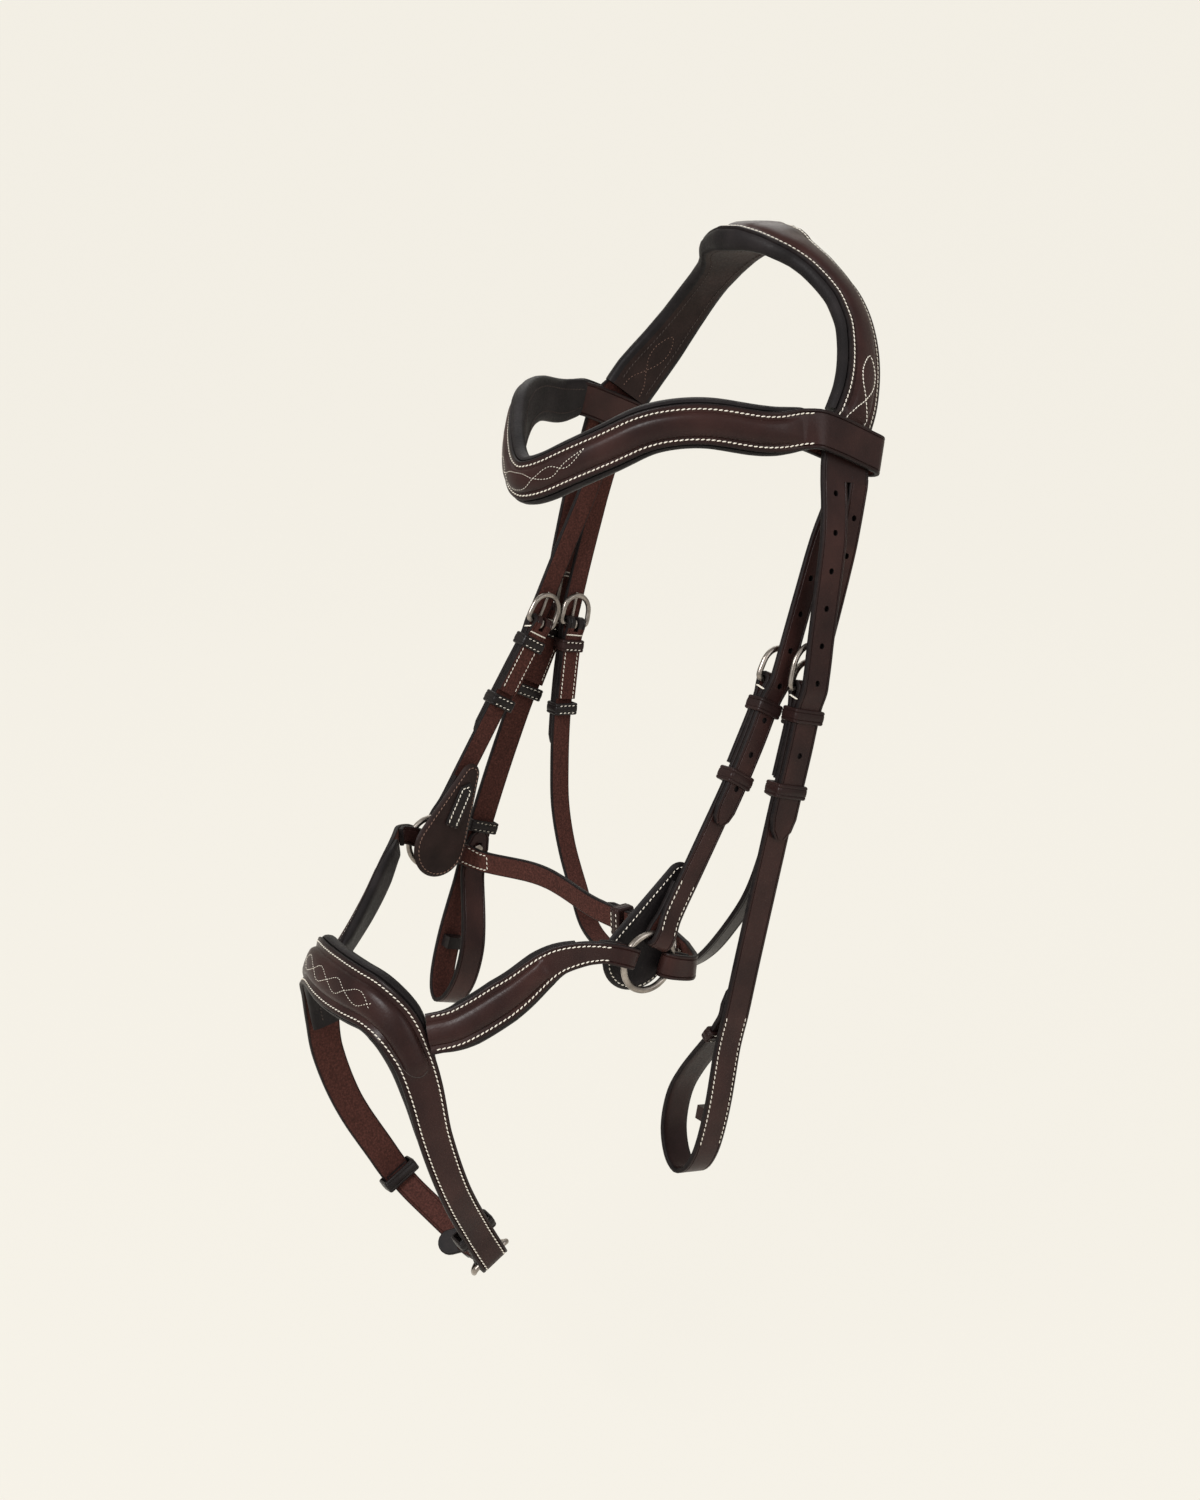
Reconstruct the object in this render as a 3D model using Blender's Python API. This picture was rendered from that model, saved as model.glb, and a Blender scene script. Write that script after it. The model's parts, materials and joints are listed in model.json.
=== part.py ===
"""A full-size leather bridle with a padded drop noseband hung on two rings.

The horse faces -Y, its left side is +X, and Z is up. The origin lies on the underside of the
headpiece padding, in the middle of the poll. Lengths are in metres.
"""
import math

import bmesh
import bpy
from mathutils import Matrix, Vector

MM = 0.001
GAP = 0.3 * MM

# Leather and padding
STRAP_THICK = 2.5 * MM
PAD_THICK = 5.5 * MM
PAD_PROUD = 2.6 * MM
PAD_GAP = 0.8 * MM
CENTRE_RAISE = 2.0 * MM
KEEPER_WALL = 1.3 * MM
KEEPER_HEIGHT = 7.0 * MM
HOLE_WIDTH = 3.0 * MM
HOLE_PITCH = 18.0 * MM
LAYER = STRAP_THICK / 2 + GAP / 2

# Buckles
WIRE_RADIUS = 1.5 * MM
FRAME_REACH_SHARE = 1.38
FRAME_ROOM = 1.2 * MM
PRONG_RADIUS = 0.9 * MM
BAR_CLEARANCE = 0.4 * MM
SLOT_ROOM = 0.6 * MM
PRONG_REACH = WIRE_RADIUS + GAP + PRONG_RADIUS
FOLD_RADIUS = WIRE_RADIUS + BAR_CLEARANCE + STRAP_THICK / 2
BILLET_OVER_FRAME = PRONG_REACH + PRONG_RADIUS + GAP + STRAP_THICK / 2
BILLET_OVER_BAR = FOLD_RADIUS + STRAP_THICK + GAP
BILLET_OVER_STRAP = LAYER + STRAP_THICK + GAP
FOLD_RUN = 8.6 * MM

# Headpiece
HEAD_HALF_SPAN = 95.0 * MM
HEAD_DROP = 107.0 * MM
HEAD_WIDTH = 46.0 * MM
HEAD_SWEEP = 28.0 * MM
HEAD_OUTER = PAD_THICK + PAD_GAP + STRAP_THICK / 2
HEAD_INNER = HEAD_OUTER - STRAP_THICK - GAP
HEAD_X_SHARES = (0, 0.06, 0.12, 0.215, 0.315, 0.4, 0.51, 0.6, 0.713, 0.82, 0.904, 0.943, 0.97, 1)
HEAD_Z_SHARES = (0, 0, 0, 0.024, 0.068, 0.117, 0.187, 0.253, 0.367, 0.511, 0.652, 0.782, 0.879, 1)
HEAD_Y_SHARES = (0, 0.01, 0.03, 0.07, 0.18, 0.24, 0.26, 0.25, 0.15, -0.09, -0.42, -0.73, -0.88, -0.97)
HEAD_WIDTH_SHARES = (1, 0.99, 0.95, 0.87, 0.7, 0.6, 0.55, 0.545, 0.56, 0.62, 0.67, 0.68, 0.68, 0.68)
HEAD_LEAN_SHARES = (0, 0, 0, 0.11, 0.16, 0.18, 0.19, 0.19, 0.17, 0.1, 0.02, 0, 0, 0)
HEAD_PLUMP = 4.5 * MM
HEAD_PLUMP_SHARES = (1, 0.85, 0.5, 0.15, 0, 0, 0, 0, 0, 0, 0, 0, 0, 0)
HEAD_PAD_END_SHARE = 0.77

# Browband
BROW_HEIGHT = 19.0 * MM
BROW_PAD_HEIGHT = 24.0 * MM
BROW_FORWARD = 145.0 * MM
BROW_HALF_SPAN = 102.0 * MM
BROW_LEVEL = 86.0 * MM
BROW_LOOP_SHARE = 0.885
LOOP_ROOM = 2.4 * MM
BROW_RISE = 10.0 * MM
BROW_DIP = 21.0 * MM
BROW_X_SHARES = (0, 0.126, 0.262, 0.408, 0.563, 0.718, 0.893)
BROW_Y_SHARES = (1, 0.98, 0.929, 0.854, 0.756, 0.63, 0.447)
BROW_RISE_SHARES = (0, 0, 0, 0, 0.7, 1, 0.6)
BROW_DIP_SHARES = (1, 0.86, 0.52, 0.12, 0, 0, 0)

# Cheekpieces
CHEEK_WIDTH = 16.0 * MM
CHEEK_BAR = Vector((110.0 * MM, -53.5 * MM, -203.0 * MM))
CHEEK_LEANS = {1: math.radians(15.3), -1: math.radians(17.4)}
CHEEK_LENGTHS = {1: 252.0 * MM, -1: 238.0 * MM}
CHEEK_BOWS = {
    1: ((0.25, 0), (0.6, 0), (0.8, 1.2 * MM), (1, 3.4 * MM)),
    -1: ((0.22, -8.0 * MM), (0.45, -13.0 * MM), (0.7, -15.0 * MM), (1, -15.0 * MM)),
}
CHEEK_FLARE = 0.02
CHEEK_SPREAD = 3.5 * MM
CHEEK_BULGE_SHARES = ((0.22, 1), (0.6, 0.7))
BILLET_TAIL = 74.0 * MM
RUNNING_KEEPER_AT = 50.0 * MM
SEWN_KEEPER_AT = 12.6 * MM
CHAPE_END = 44.0 * MM
BIT_LOOP_TOP = 86.0 * MM
BIT_LOOP_DEPTHS = {1: 31.0 * MM, -1: 27.0 * MM}
BIT_RETURN = 20.0 * MM
STUD_RADIUS = 3.2 * MM

# Noseband hangers
HANGER_WIDTH = 12.4 * MM
HANGER_BARS = {
    1: Vector((98.2 * MM, -66.0 * MM, -200.0 * MM)),
    -1: Vector((-98.2 * MM, -73.0 * MM, -206.0 * MM)),
}
HANGER_TUCK = 2.0 * MM
HANGER_BOWS = {1: 2.6 * MM, -1: 0}

# Throatlatch
THROAT_WIDTH = 12.0 * MM
BILLETS_SPACE = 2.0 * MM
THROAT_BAR = Vector((98.0 * MM, -45.0 * MM, -209.0 * MM))
THROAT_DEPTH = 180.0 * MM
THROAT_SWEEP = 24.0 * MM
THROAT_X_SHARES = (1, 0.96, 0.88, 0.8, 0.63, 0.41, 0.1, -0.29, -0.61, -0.82, -0.96, -0.99, -1, -1)
THROAT_Y_SHARES = (0, 0.37, 0.65, 0.83, 1, 1, 1, 0.96, 0.79, 0.58, 0.65, 0.63, 0.5, 0.21)
THROAT_Z_SHARES = (0, 0.29, 0.535, 0.635, 0.775, 0.88, 0.955, 0.98, 0.955, 0.86, 0.656, 0.45, 0.25, 0)

# Rings and their pads
RING_RADIUS = 14.2 * MM
RING_WIRE = 1.65 * MM
RING_FOLD = RING_WIRE + GAP + STRAP_THICK / 2
RING_SLACK = 2.6 * MM
RING_CENTRE = Vector((105.2 * MM, -144.0 * MM, -325.5 * MM))
BRANCH_ANGLE = math.radians(154)
JAW_ANGLES = {1: math.radians(-20), -1: math.radians(-30)}
RING_RETURN = 26.0 * MM
RING_PAD_RADIUS = 18.0 * MM
RING_PAD_THICK = 4.0 * MM
RING_PAD_NECK = 13.0 * MM
RING_PAD_RISE = 44.0 * MM
RING_PAD_TILT = 0.12

# Noseband
NOSE_HALF_WIDTH = 57.0 * MM
NOSE_FRONT = 258.0 * MM
NOSE_TOP = 345.0 * MM
NOSE_DEPTH = 152.0 * MM
NOSE_BACK = 60.0 * MM
NOSE_BAND = 33.0 * MM
NOSE_X_SHARES = (0, 0.281, 0.544, 0.754, 0.877, 0.947, 1, 0.982, 0.886, 0.816)
NOSE_Y_SHARES = (0, 0.016, 0.075, 0.156, 0.237, 0.291, 0.355, 0.533, 0.783, 0.964)
NOSE_Z_SHARES = (0, 0.001, 0.013, 0.065, 0.166, 0.277, 0.445, 0.664, 0.864, 0.997)
NOSE_WIDTH_SHARES = (0.84, 0.82, 0.78, 0.72, 0.62, 0.6, 0.54, 0.5, 0.5, 0.5)
NOSE_PAD_SHARES = (1, 0.98, 0.94, 0.88, 0.8, 0.78, 0.66)
NOSE_FACE = Vector((0, -0.926, 0.378))
CHIN_WIDTH = 13.5 * MM
CHIN_DROP = 21.0 * MM
CHIN_TAIL = 40.0 * MM

# Front branches
BRANCH_WIDTH = 10.5 * MM
BRANCH_WIDE = 20.0 * MM
BRANCH_INWARD = 46.0 * MM
BRANCH_FORWARD = 70.0 * MM
BRANCH_FALL = 37.0 * MM
BRANCH_SLACK = 1.8 * MM
BRANCH_RETURN = 14.0 * MM
BRANCH_FACING = (0.95, 0.55)
BRANCH_X_SHARES = (0.07, 0.27, 0.5, 0.71, 0.98, 1.152)
BRANCH_Y_SHARES = (0.12, 0.225, 0.39, 0.63, 0.945, 1.121)
BRANCH_Z_SHARES = (-0.08, -0.03, 0.14, 0.57, 0.99, 1.09)

# Jaw strap
JAW_WIDTH = 12.5 * MM
JAW_BACK = 26.0 * MM
JAW_TURN = 8.0 * MM
JAW_SAG = 16.0 * MM
JAW_BUCKLE_AT = 56.0 * MM
JAW_TAIL = 60.0 * MM

LEATHER = ((0.036, 0.017, 0.015), 0.42, 0.0)
PADDING = ((0.018, 0.016, 0.016), 0.6, 0.0)
NICKEL = ((0.42, 0.38, 0.35), 0.3, 1.0)


# Scene helpers
SPAN_STEPS = 8
FOLD_STEPS = 6
ARCH_STEPS = 8
HOLE_SIDES = 6
ROUND_STEPS = 20
TIP_RUN_SHARES = (0.65, 0.25, 0)
TIP_WIDTH_SHARES = (1, 0.8, 0.4)


def make_look(name, look):
    """A Principled material with a colour, a roughness and a metallic value."""
    colour, roughness, metallic = look
    made = bpy.data.materials.new(name)
    made.use_nodes = True
    shader = made.node_tree.nodes["Principled BSDF"]
    shader.inputs["Base Color"].default_value = (*colour, 1)
    shader.inputs["Roughness"].default_value = roughness
    shader.inputs["Metallic"].default_value = metallic
    made.diffuse_color = (*colour, 1)
    return made


def add_object(name, data, look, origin):
    """Link one named object, with its own material, at its origin."""
    data.materials.append(make_look(name, look))
    made = bpy.data.objects.new(name, data)
    made.location = origin
    bpy.context.collection.objects.link(made)
    return made


def add_mesh(name, bm, look, origin):
    """Turn a bmesh drawn in place into an object whose origin is given."""
    bmesh.ops.translate(bm, verts=bm.verts, vec=-origin)
    bmesh.ops.recalc_face_normals(bm, faces=bm.faces)
    mesh = bpy.data.meshes.new(name)
    bm.to_mesh(mesh)
    bm.free()
    return add_object(name, mesh, look, origin)


def add_tube(name, places, radius, look, origin, closed=False, rounds=1):
    """A round wire along places, closed into a loop or capped at its ends."""
    curve = bpy.data.curves.new(name, "CURVE")
    curve.dimensions = "3D"
    curve.bevel_depth = radius
    curve.bevel_resolution = rounds
    curve.use_fill_caps = True
    spline = curve.splines.new("POLY")
    spline.points.add(len(places) - 1)
    for point, place in zip(spline.points, places):
        point.co = (*(place - origin), 1)
    spline.use_cyclic_u = closed
    spline.use_smooth = True
    return add_object(name, curve, look, origin)


def hide_tool(tool):
    """A cutter or an added shape is left out of the model itself."""
    tool.hide_render = True
    tool.display_type = "WIRE"


def combine(target, tool, operation):
    """Cut a hidden shape from an object, or join it on."""
    hide_tool(tool)
    step = target.modifiers.new(tool.name, "BOOLEAN")
    step.operation = operation
    step.solver = "EXACT"
    step.object = tool


# Lines that the straps follow
def smooth_line(places, steps):
    """Places on a smooth line through the given ones, with this many steps a span."""
    gaps = [(b - a).length for a, b in zip(places, places[1:])]
    slopes = [(places[1] - places[0]) / gaps[0]]
    for i in range(1, len(places) - 1):
        slopes.append((places[i + 1] - places[i - 1]) / (gaps[i - 1] + gaps[i]))
    slopes.append((places[-1] - places[-2]) / gaps[-1])
    line = []
    for i, gap in enumerate(gaps):
        for step in range(steps):
            t = step / steps
            line.append(
                places[i] * (2 * t**3 - 3 * t**2 + 1)
                + slopes[i] * (gap * (t**3 - 2 * t**2 + t))
                + places[i + 1] * (3 * t**2 - 2 * t**3)
                + slopes[i + 1] * (gap * (t**3 - t**2))
            )
    line.append(places[-1])
    return line


def mirrored(places):
    """Near places reversed onto the far side, without the middle one."""
    return [Vector((-p.x, p.y, p.z)) for p in reversed(places[:-1])]


class Route:
    """A smooth line, measured along s, with o outward and w across the strap."""

    def __init__(self, places, outs, zero=0):
        self.line = smooth_line(places, SPAN_STEPS)
        self.outs = []
        for a, b in zip(outs, outs[1:]):
            self.outs += [a.lerp(b, step / SPAN_STEPS) for step in range(SPAN_STEPS)]
        self.outs.append(outs[-1])
        marks = [0]
        for a, b in zip(self.line, self.line[1:]):
            marks.append(marks[-1] + (b - a).length)
        self.marks = [mark - marks[zero * SPAN_STEPS] for mark in marks]

    def mark(self, index):
        """How far along one of the given places lies."""
        return self.marks[index * SPAN_STEPS]

    def frame(self, s):
        """The place at s, and its directions along, outward and across."""
        last = len(self.line) - 2
        i = 0
        while i < last and self.marks[i + 1] < s:
            i += 1
        share = (s - self.marks[i]) / (self.marks[i + 1] - self.marks[i])
        place = self.line[i] + (self.line[i + 1] - self.line[i]) * share
        inside = min(max(share, 0), 1)
        before = (self.line[i + 1] - self.line[max(i - 1, 0)]).normalized()
        after = (self.line[min(i + 2, last + 1)] - self.line[i]).normalized()
        along = before.lerp(after, inside).normalized()
        out = self.outs[i].lerp(self.outs[i + 1], inside)
        out = (out - along * out.dot(along)).normalized()
        return place, along, out, along.cross(out)

    def at(self, s, o=0, w=0):
        place, _, out, across = self.frame(s)
        return place + out * o + across * w


class Buckled:
    """A route measured from a buckle's bar: a along its strap, o towards its billet."""

    def __init__(self, route, bar, width, heading=1, face=1):
        self.route, self.bar, self.heading, self.face = route, bar, heading, face
        self.reach = width * FRAME_REACH_SHARE

    def frame(self, a):
        place, along, out, across = self.route.frame(self.bar + self.heading * a)
        turn = self.heading * self.face
        return place, along * self.heading, out * self.face, across * turn

    def at(self, a, o=0, w=0):
        place, _, out, across = self.frame(a)
        return place + out * o + across * w


# Leather sections, as shares of the half width and as heights from the middle
def flat_section(thick=STRAP_THICK):
    half = thick / 2
    return ((-1, -half), (1, -half), (1, half), (-1, half))


def raised_section(share=1):
    half = STRAP_THICK / 2
    top = half + CENTRE_RAISE * share
    crown = ((0.62, half), (0.4, top), (-0.4, top), (-0.62, half))
    bottom = ((-1, -half), (-0.35, -half), (0.35, -half), (1, -half))
    return (*bottom, (1, half), *crown, (-1, half))


def padded_section(thick):
    half = thick / 2
    top = ((0.84, half), (0.3, half), (-0.3, half), (-0.84, half))
    return ((-1, 0), (-0.84, -half), (0.84, -half), (1, 0), *top)


def sweep(rings):
    """Extrude the face of the first ring through the others, as one closed body."""
    bm = bmesh.new()
    verts = [bm.verts.new(place) for place in rings[0]]
    face = bm.faces.new(verts)
    order = {vert: i for i, vert in enumerate(verts)}
    first = face
    for ring in rings[1:]:
        made = bmesh.ops.extrude_face_region(bm, geom=[face])["geom"]
        if face != first:
            bmesh.ops.delete(bm, geom=[face], context="FACES_ONLY")
        face = next(item for item in made if isinstance(item, bmesh.types.BMFace))
        fresh = {}
        for vert in face.verts:
            for edge in vert.link_edges:
                if edge.other_vert(vert) in order:
                    fresh[vert] = order[edge.other_vert(vert)]
        for vert, i in fresh.items():
            vert.co = ring[i]
        order = fresh
    return bm


def strip(route, track, width, section):
    """A strap through (s, o) places; width and section may each be a list of them."""
    widths = width if isinstance(width, list) else [width] * len(track)
    sections = section if isinstance(section, list) else [section] * len(track)
    centres = [route.at(s, o) for s, o in track]
    last = len(track) - 1
    rings = []
    for i, (s, _) in enumerate(track):
        along = (centres[min(i + 1, last)] - centres[max(i - 1, 0)]).normalized()
        across = route.frame(s)[3]
        out = across.cross(along).normalized()
        half = widths[i] / 2
        rings.append([centres[i] + across * (c * half) + out * h for c, h in sections[i]])
    return sweep(rings)


def run(start, end, height, count):
    """Places at one height, from start to end."""
    return [(start + (end - start) * i / count, height) for i in range(count + 1)]


def fold(at, heading, radius, open_run=0, slack=0):
    """Places over a bar and back, from the outer layer to the inner one."""
    half = [(at - heading * (open_run + FOLD_RUN), LAYER)]
    if open_run:
        half.append((at - heading * open_run, radius))
    half.append((at + heading * slack, radius))
    for i in range(1, FOLD_STEPS):
        turn = math.pi * i / FOLD_STEPS
        half.append((at + heading * (slack + radius * math.sin(turn)), radius * math.cos(turn)))
    return half + [(s, -o) for s, o in reversed(half[: len(half) - FOLD_STEPS + 1])]


def with_tip(track, width):
    """A track cut to a rounded end, and the widths that go with it."""
    end, height = track[-1]
    widths = [width] * (len(track) - 1)
    tip = []
    for run_share, width_share in zip(TIP_RUN_SHARES, TIP_WIDTH_SHARES):
        tip.append((end - width * run_share, height))
        widths.append(width * width_share)
    return track[:-1] + tip, widths


# Parts that a buckled strap has
def add_billet(name, hold, top, width, origin, tail=BILLET_TAIL, start=None):
    """A billet that lies over the frame and the strap, with its row of holes."""
    lead = start or run(top, -hold.reach, BILLET_OVER_FRAME, 6)
    rise = BILLET_OVER_BAR - BILLET_OVER_FRAME
    over = [(-hold.reach * (1 - i / 4), BILLET_OVER_FRAME + rise * i / 4) for i in range(1, 5)]
    track = lead + over + run(FOLD_RUN, tail, BILLET_OVER_STRAP, 3)
    track, widths = with_tip(track, width)
    made = add_mesh(name, strip(hold, track, widths, flat_section()), LEATHER, origin)
    first = -hold.reach - HOLE_PITCH * int(max(-hold.reach - top, 0) / HOLE_PITCH)
    count = int((tail - width - first) / HOLE_PITCH) + 1
    for i in range(count):
        bore(made, hold, first + HOLE_PITCH * i)
    return made


def bore(target, hold, a):
    """One round hole through a billet."""
    place, _, out, across = hold.frame(a)
    reach = BILLET_OVER_BAR + STRAP_THICK
    bm = bmesh.new()
    radius = HOLE_WIDTH / 2
    bmesh.ops.create_cone(bm, cap_ends=True, segments=HOLE_SIDES, radius1=radius, radius2=radius, depth=reach)
    turn = Matrix((across.cross(out), across, out)).transposed().to_4x4()
    bmesh.ops.transform(bm, verts=bm.verts, matrix=Matrix.Translation(place + out * reach) @ turn)
    combine(target, add_mesh(target.name + "_hole", bm, NICKEL, Vector()), "DIFFERENCE")


def add_frame(name, hold, width, origin):
    """A rounded horseshoe frame: a straight bar, two legs and an arch."""
    half = width / 2 + FRAME_ROOM + WIRE_RADIUS
    leg = hold.reach * 0.42
    round_in = WIRE_RADIUS
    places = [hold.at(0, 0, -half + round_in), hold.at(0, 0, half - round_in)]
    places.append(hold.at(-round_in, 0, half))
    for i in range(ARCH_STEPS + 1):
        turn = math.pi * i / ARCH_STEPS
        reach = leg + (hold.reach - leg) * math.sin(turn)
        places.append(hold.at(-reach, 0, half * math.cos(turn)))
    places.append(hold.at(-round_in, 0, -half))
    return add_tube(name, places, WIRE_RADIUS, NICKEL, origin, closed=True)


def add_prong(name, hold):
    """A tongue that hooks round the bar and lies on the frame, under the billet."""
    places = []
    for degrees in (225, 180, 135, 90, 45):
        turn = math.radians(degrees)
        places.append(hold.at(PRONG_REACH * math.sin(turn), PRONG_REACH * math.cos(turn)))
    places[0] = hold.at(-PRONG_REACH * 0.7, -PRONG_REACH * 0.7)
    places += [hold.at(-hold.reach * i / 4, PRONG_REACH) for i in range(5)]
    places.append(hold.at(-hold.reach - WIRE_RADIUS, PRONG_REACH))
    return add_tube(name, places, PRONG_RADIUS, NICKEL, hold.at(0))


def cut_prong_slot(target, hold):
    """The slot in a fold that lets the prong turn on its bar."""
    half = PRONG_RADIUS + SLOT_ROOM
    low, high = -FOLD_RADIUS - STRAP_THICK, PRONG_REACH + PRONG_RADIUS + SLOT_ROOM
    reach = FOLD_RADIUS + STRAP_THICK
    add_block_cut(target, hold, (low, high), (-reach, reach), half)


def block(hold, along, outward, half):
    """A box between two places along and two outward, this wide each way."""
    (a0, a1), (o0, o1) = along, outward
    middle = (a0 + a1) / 2
    place, ahead, out, across = hold.frame(middle)
    place = place - ahead * middle
    rings = []
    for a in (a0, a1):
        ends = ((o0, -half), (o0, half), (o1, half), (o1, -half))
        rings.append([place + ahead * a + out * o + across * w for o, w in ends])
    return sweep(rings)


def add_block_cut(target, hold, along, outward, half):
    tool = add_mesh(target.name + "_cut", block(hold, along, outward, half), NICKEL, Vector())
    combine(target, tool, "DIFFERENCE")


def band(hold, a, low, high, width, height=KEEPER_HEIGHT, wall=KEEPER_WALL):
    """A closed leather band round the layers from low to high, about one place."""
    place, ahead, out, across = hold.frame(a)
    start = place - ahead * (height / 2)
    bm = bmesh.new()
    for grow, cut in ((0, GAP / 2), (wall, wall)):
        half = width / 2 + GAP + grow
        bottom, top = low - GAP - grow, high + GAP + grow
        corners = [
            (bottom + cut, -half), (top - cut, -half), (top, cut - half), (top, half - cut),
            (top - cut, half), (bottom + cut, half), (bottom, half - cut), (bottom, cut - half),
        ]
        verts = [bm.verts.new(start + out * o + across * w) for o, w in corners]
        for first, second in zip(verts, verts[1:] + verts[:1]):
            bm.edges.new((first, second))
    faces = bmesh.ops.bridge_loops(bm, edges=bm.edges[:])["faces"]
    made = bmesh.ops.extrude_face_region(bm, geom=faces)["geom"]
    moved = [item for item in made if isinstance(item, bmesh.types.BMVert)]
    bmesh.ops.translate(bm, verts=moved, vec=ahead * height)
    return bm


def sew_on_keeper(target, hold, a, width):
    """A fixed keeper whose ends are sewn between the two layers of the fold."""
    low, high = -LAYER - STRAP_THICK / 2, BILLET_OVER_STRAP + STRAP_THICK / 2
    loop = add_mesh(target.name + "_keeper", band(hold, a, low, high, width), LEATHER, Vector())
    combine(target, loop, "UNION")
    reach = KEEPER_HEIGHT * 0.35
    half = width / 2 + GAP + KEEPER_WALL / 2
    tail = block(hold, (a - reach, a + reach), (-LAYER, LAYER), half)
    combine(target, add_mesh(target.name + "_tail", tail, LEATHER, Vector()), "UNION")


def add_running_keeper(name, hold, a, width, extra=0):
    """A loose keeper round the strap and its billet."""
    low, high = -LAYER - STRAP_THICK / 2, BILLET_OVER_STRAP + STRAP_THICK / 2 + extra
    return add_mesh(name, band(hold, a, low, high, width), LEATHER, hold.at(a))


# Headpiece
SIDES = (("near", 1), ("far", -1))
BILLETS_WIDTH = CHEEK_WIDTH + THROAT_WIDTH + BILLETS_SPACE


def head_route():
    """The underside of the headpiece, from the near strap ends over the poll."""
    near, outs = [], []
    middle = HEAD_DROP * 0.6
    for x, y, z, lean in zip(HEAD_X_SHARES, HEAD_Y_SHARES, HEAD_Z_SHARES, HEAD_LEAN_SHARES):
        near.append(Vector((HEAD_HALF_SPAN * x, HEAD_SWEEP * y, -HEAD_DROP * z)))
        outs.append(Vector((near[-1].x, 0, near[-1].z + middle)).normalized())
        outs[-1].y = lean
    outs[0] = outs[1] = outs[2] = Vector((0, 0, 1))
    outs[-1] = outs[-2] = outs[-3] = Vector((1, 0, 0))
    near.reverse()
    outs.reverse()
    return Route(near + mirrored(near), outs + mirrored(outs), zero=len(near) - 1)


HEAD = head_route()
HEAD_COUNT = len(HEAD_X_SHARES)
HEAD_END = HEAD.mark(2 * HEAD_COUNT - 2)


def head_sizes(marks, shares, size):
    """A size along the headpiece, read between the shares at its given places."""
    known = [HEAD.mark(HEAD_COUNT - 1 + i) for i in range(HEAD_COUNT)]
    sizes = []
    for mark in marks:
        i = 0
        while i < HEAD_COUNT - 2 and known[i + 1] < abs(mark):
            i += 1
        share = (abs(mark) - known[i]) / (known[i + 1] - known[i])
        sizes.append(size * (shares[i] + (shares[i + 1] - shares[i]) * share))
    return sizes


HEAD_PAD_END = HEAD_END * HEAD_PAD_END_SHARE


def head_marks(end):
    """Stations from near to far: none on the poll itself, which stays flat there."""
    marks = [HEAD.mark(HEAD_COUNT - 1 + i) for i in range(1, HEAD_COUNT)]
    marks += [(a + b) / 2 for a, b in zip(marks, marks[1:])] + [HEAD_PAD_END]
    marks = sorted(mark for mark in marks if mark <= end)
    return [-mark for mark in reversed(marks)] + marks


def add_headpiece():
    """The crown leather and the padding under it, with straight strap ends."""
    marks = head_marks(HEAD_END)
    widths = head_sizes(marks, HEAD_WIDTH_SHARES, HEAD_WIDTH)
    widths = [BILLETS_WIDTH if abs(m) > HEAD_PAD_END else w - 2 * PAD_PROUD for m, w in zip(marks, widths)]
    sections = [raised_section(abs(m) < HEAD_PAD_END) for m in marks]
    plumps = head_sizes(marks, HEAD_PLUMP_SHARES, HEAD_PLUMP)
    track = [(mark, HEAD_OUTER + plump) for mark, plump in zip(marks, plumps)]
    add_mesh("headpiece_leather", strip(HEAD, track, widths, sections), LEATHER, Vector())
    marks = head_marks(HEAD_PAD_END)
    thick = [PAD_THICK + plump for plump in head_sizes(marks, HEAD_PLUMP_SHARES, HEAD_PLUMP)]
    track = [(mark, t / 2) for mark, t in zip(marks, thick)]
    widths = head_sizes(marks, HEAD_WIDTH_SHARES, HEAD_WIDTH)
    bm = strip(HEAD, track, widths, [padded_section(t) for t in thick])
    add_mesh("headpiece_padding", bm, PADDING, Vector())


def strap_top(side, height, w):
    """Where a billet leaves the headpiece, so that its own layer lies at this height."""
    return HEAD.at(-side * HEAD_END, height - BILLET_OVER_FRAME, w)


def sideways(place, side):
    return Vector((place.x * side, place.y, place.z))


def outward_all(side, count):
    return [Vector((side, 0, 0))] * count


# Cheekpieces
def cheek_route(side):
    top = strap_top(side, HEAD_OUTER, (CHEEK_WIDTH - BILLETS_WIDTH) / 2)
    bar = sideways(CHEEK_BAR, side)
    reach, lean = CHEEK_LENGTHS[side], CHEEK_LEANS[side]
    fall = Vector((side * CHEEK_FLARE, -math.sin(lean), -math.cos(lean)))
    places = [top, top - HEAD.frame(-side * HEAD_END)[1] * (side * CHEEK_SPREAD)]
    for share, bulge in CHEEK_BULGE_SHARES:
        places.append(top.lerp(bar, share) + Vector((side * CHEEK_SPREAD * bulge, 0, 0)))
    places.append(bar)
    for share, bow in CHEEK_BOWS[side]:
        places.append(bar + fall * (reach * share) + Vector((0, bow, 0)))
    return Route(places, outward_all(side, len(places)), zero=4)


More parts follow.
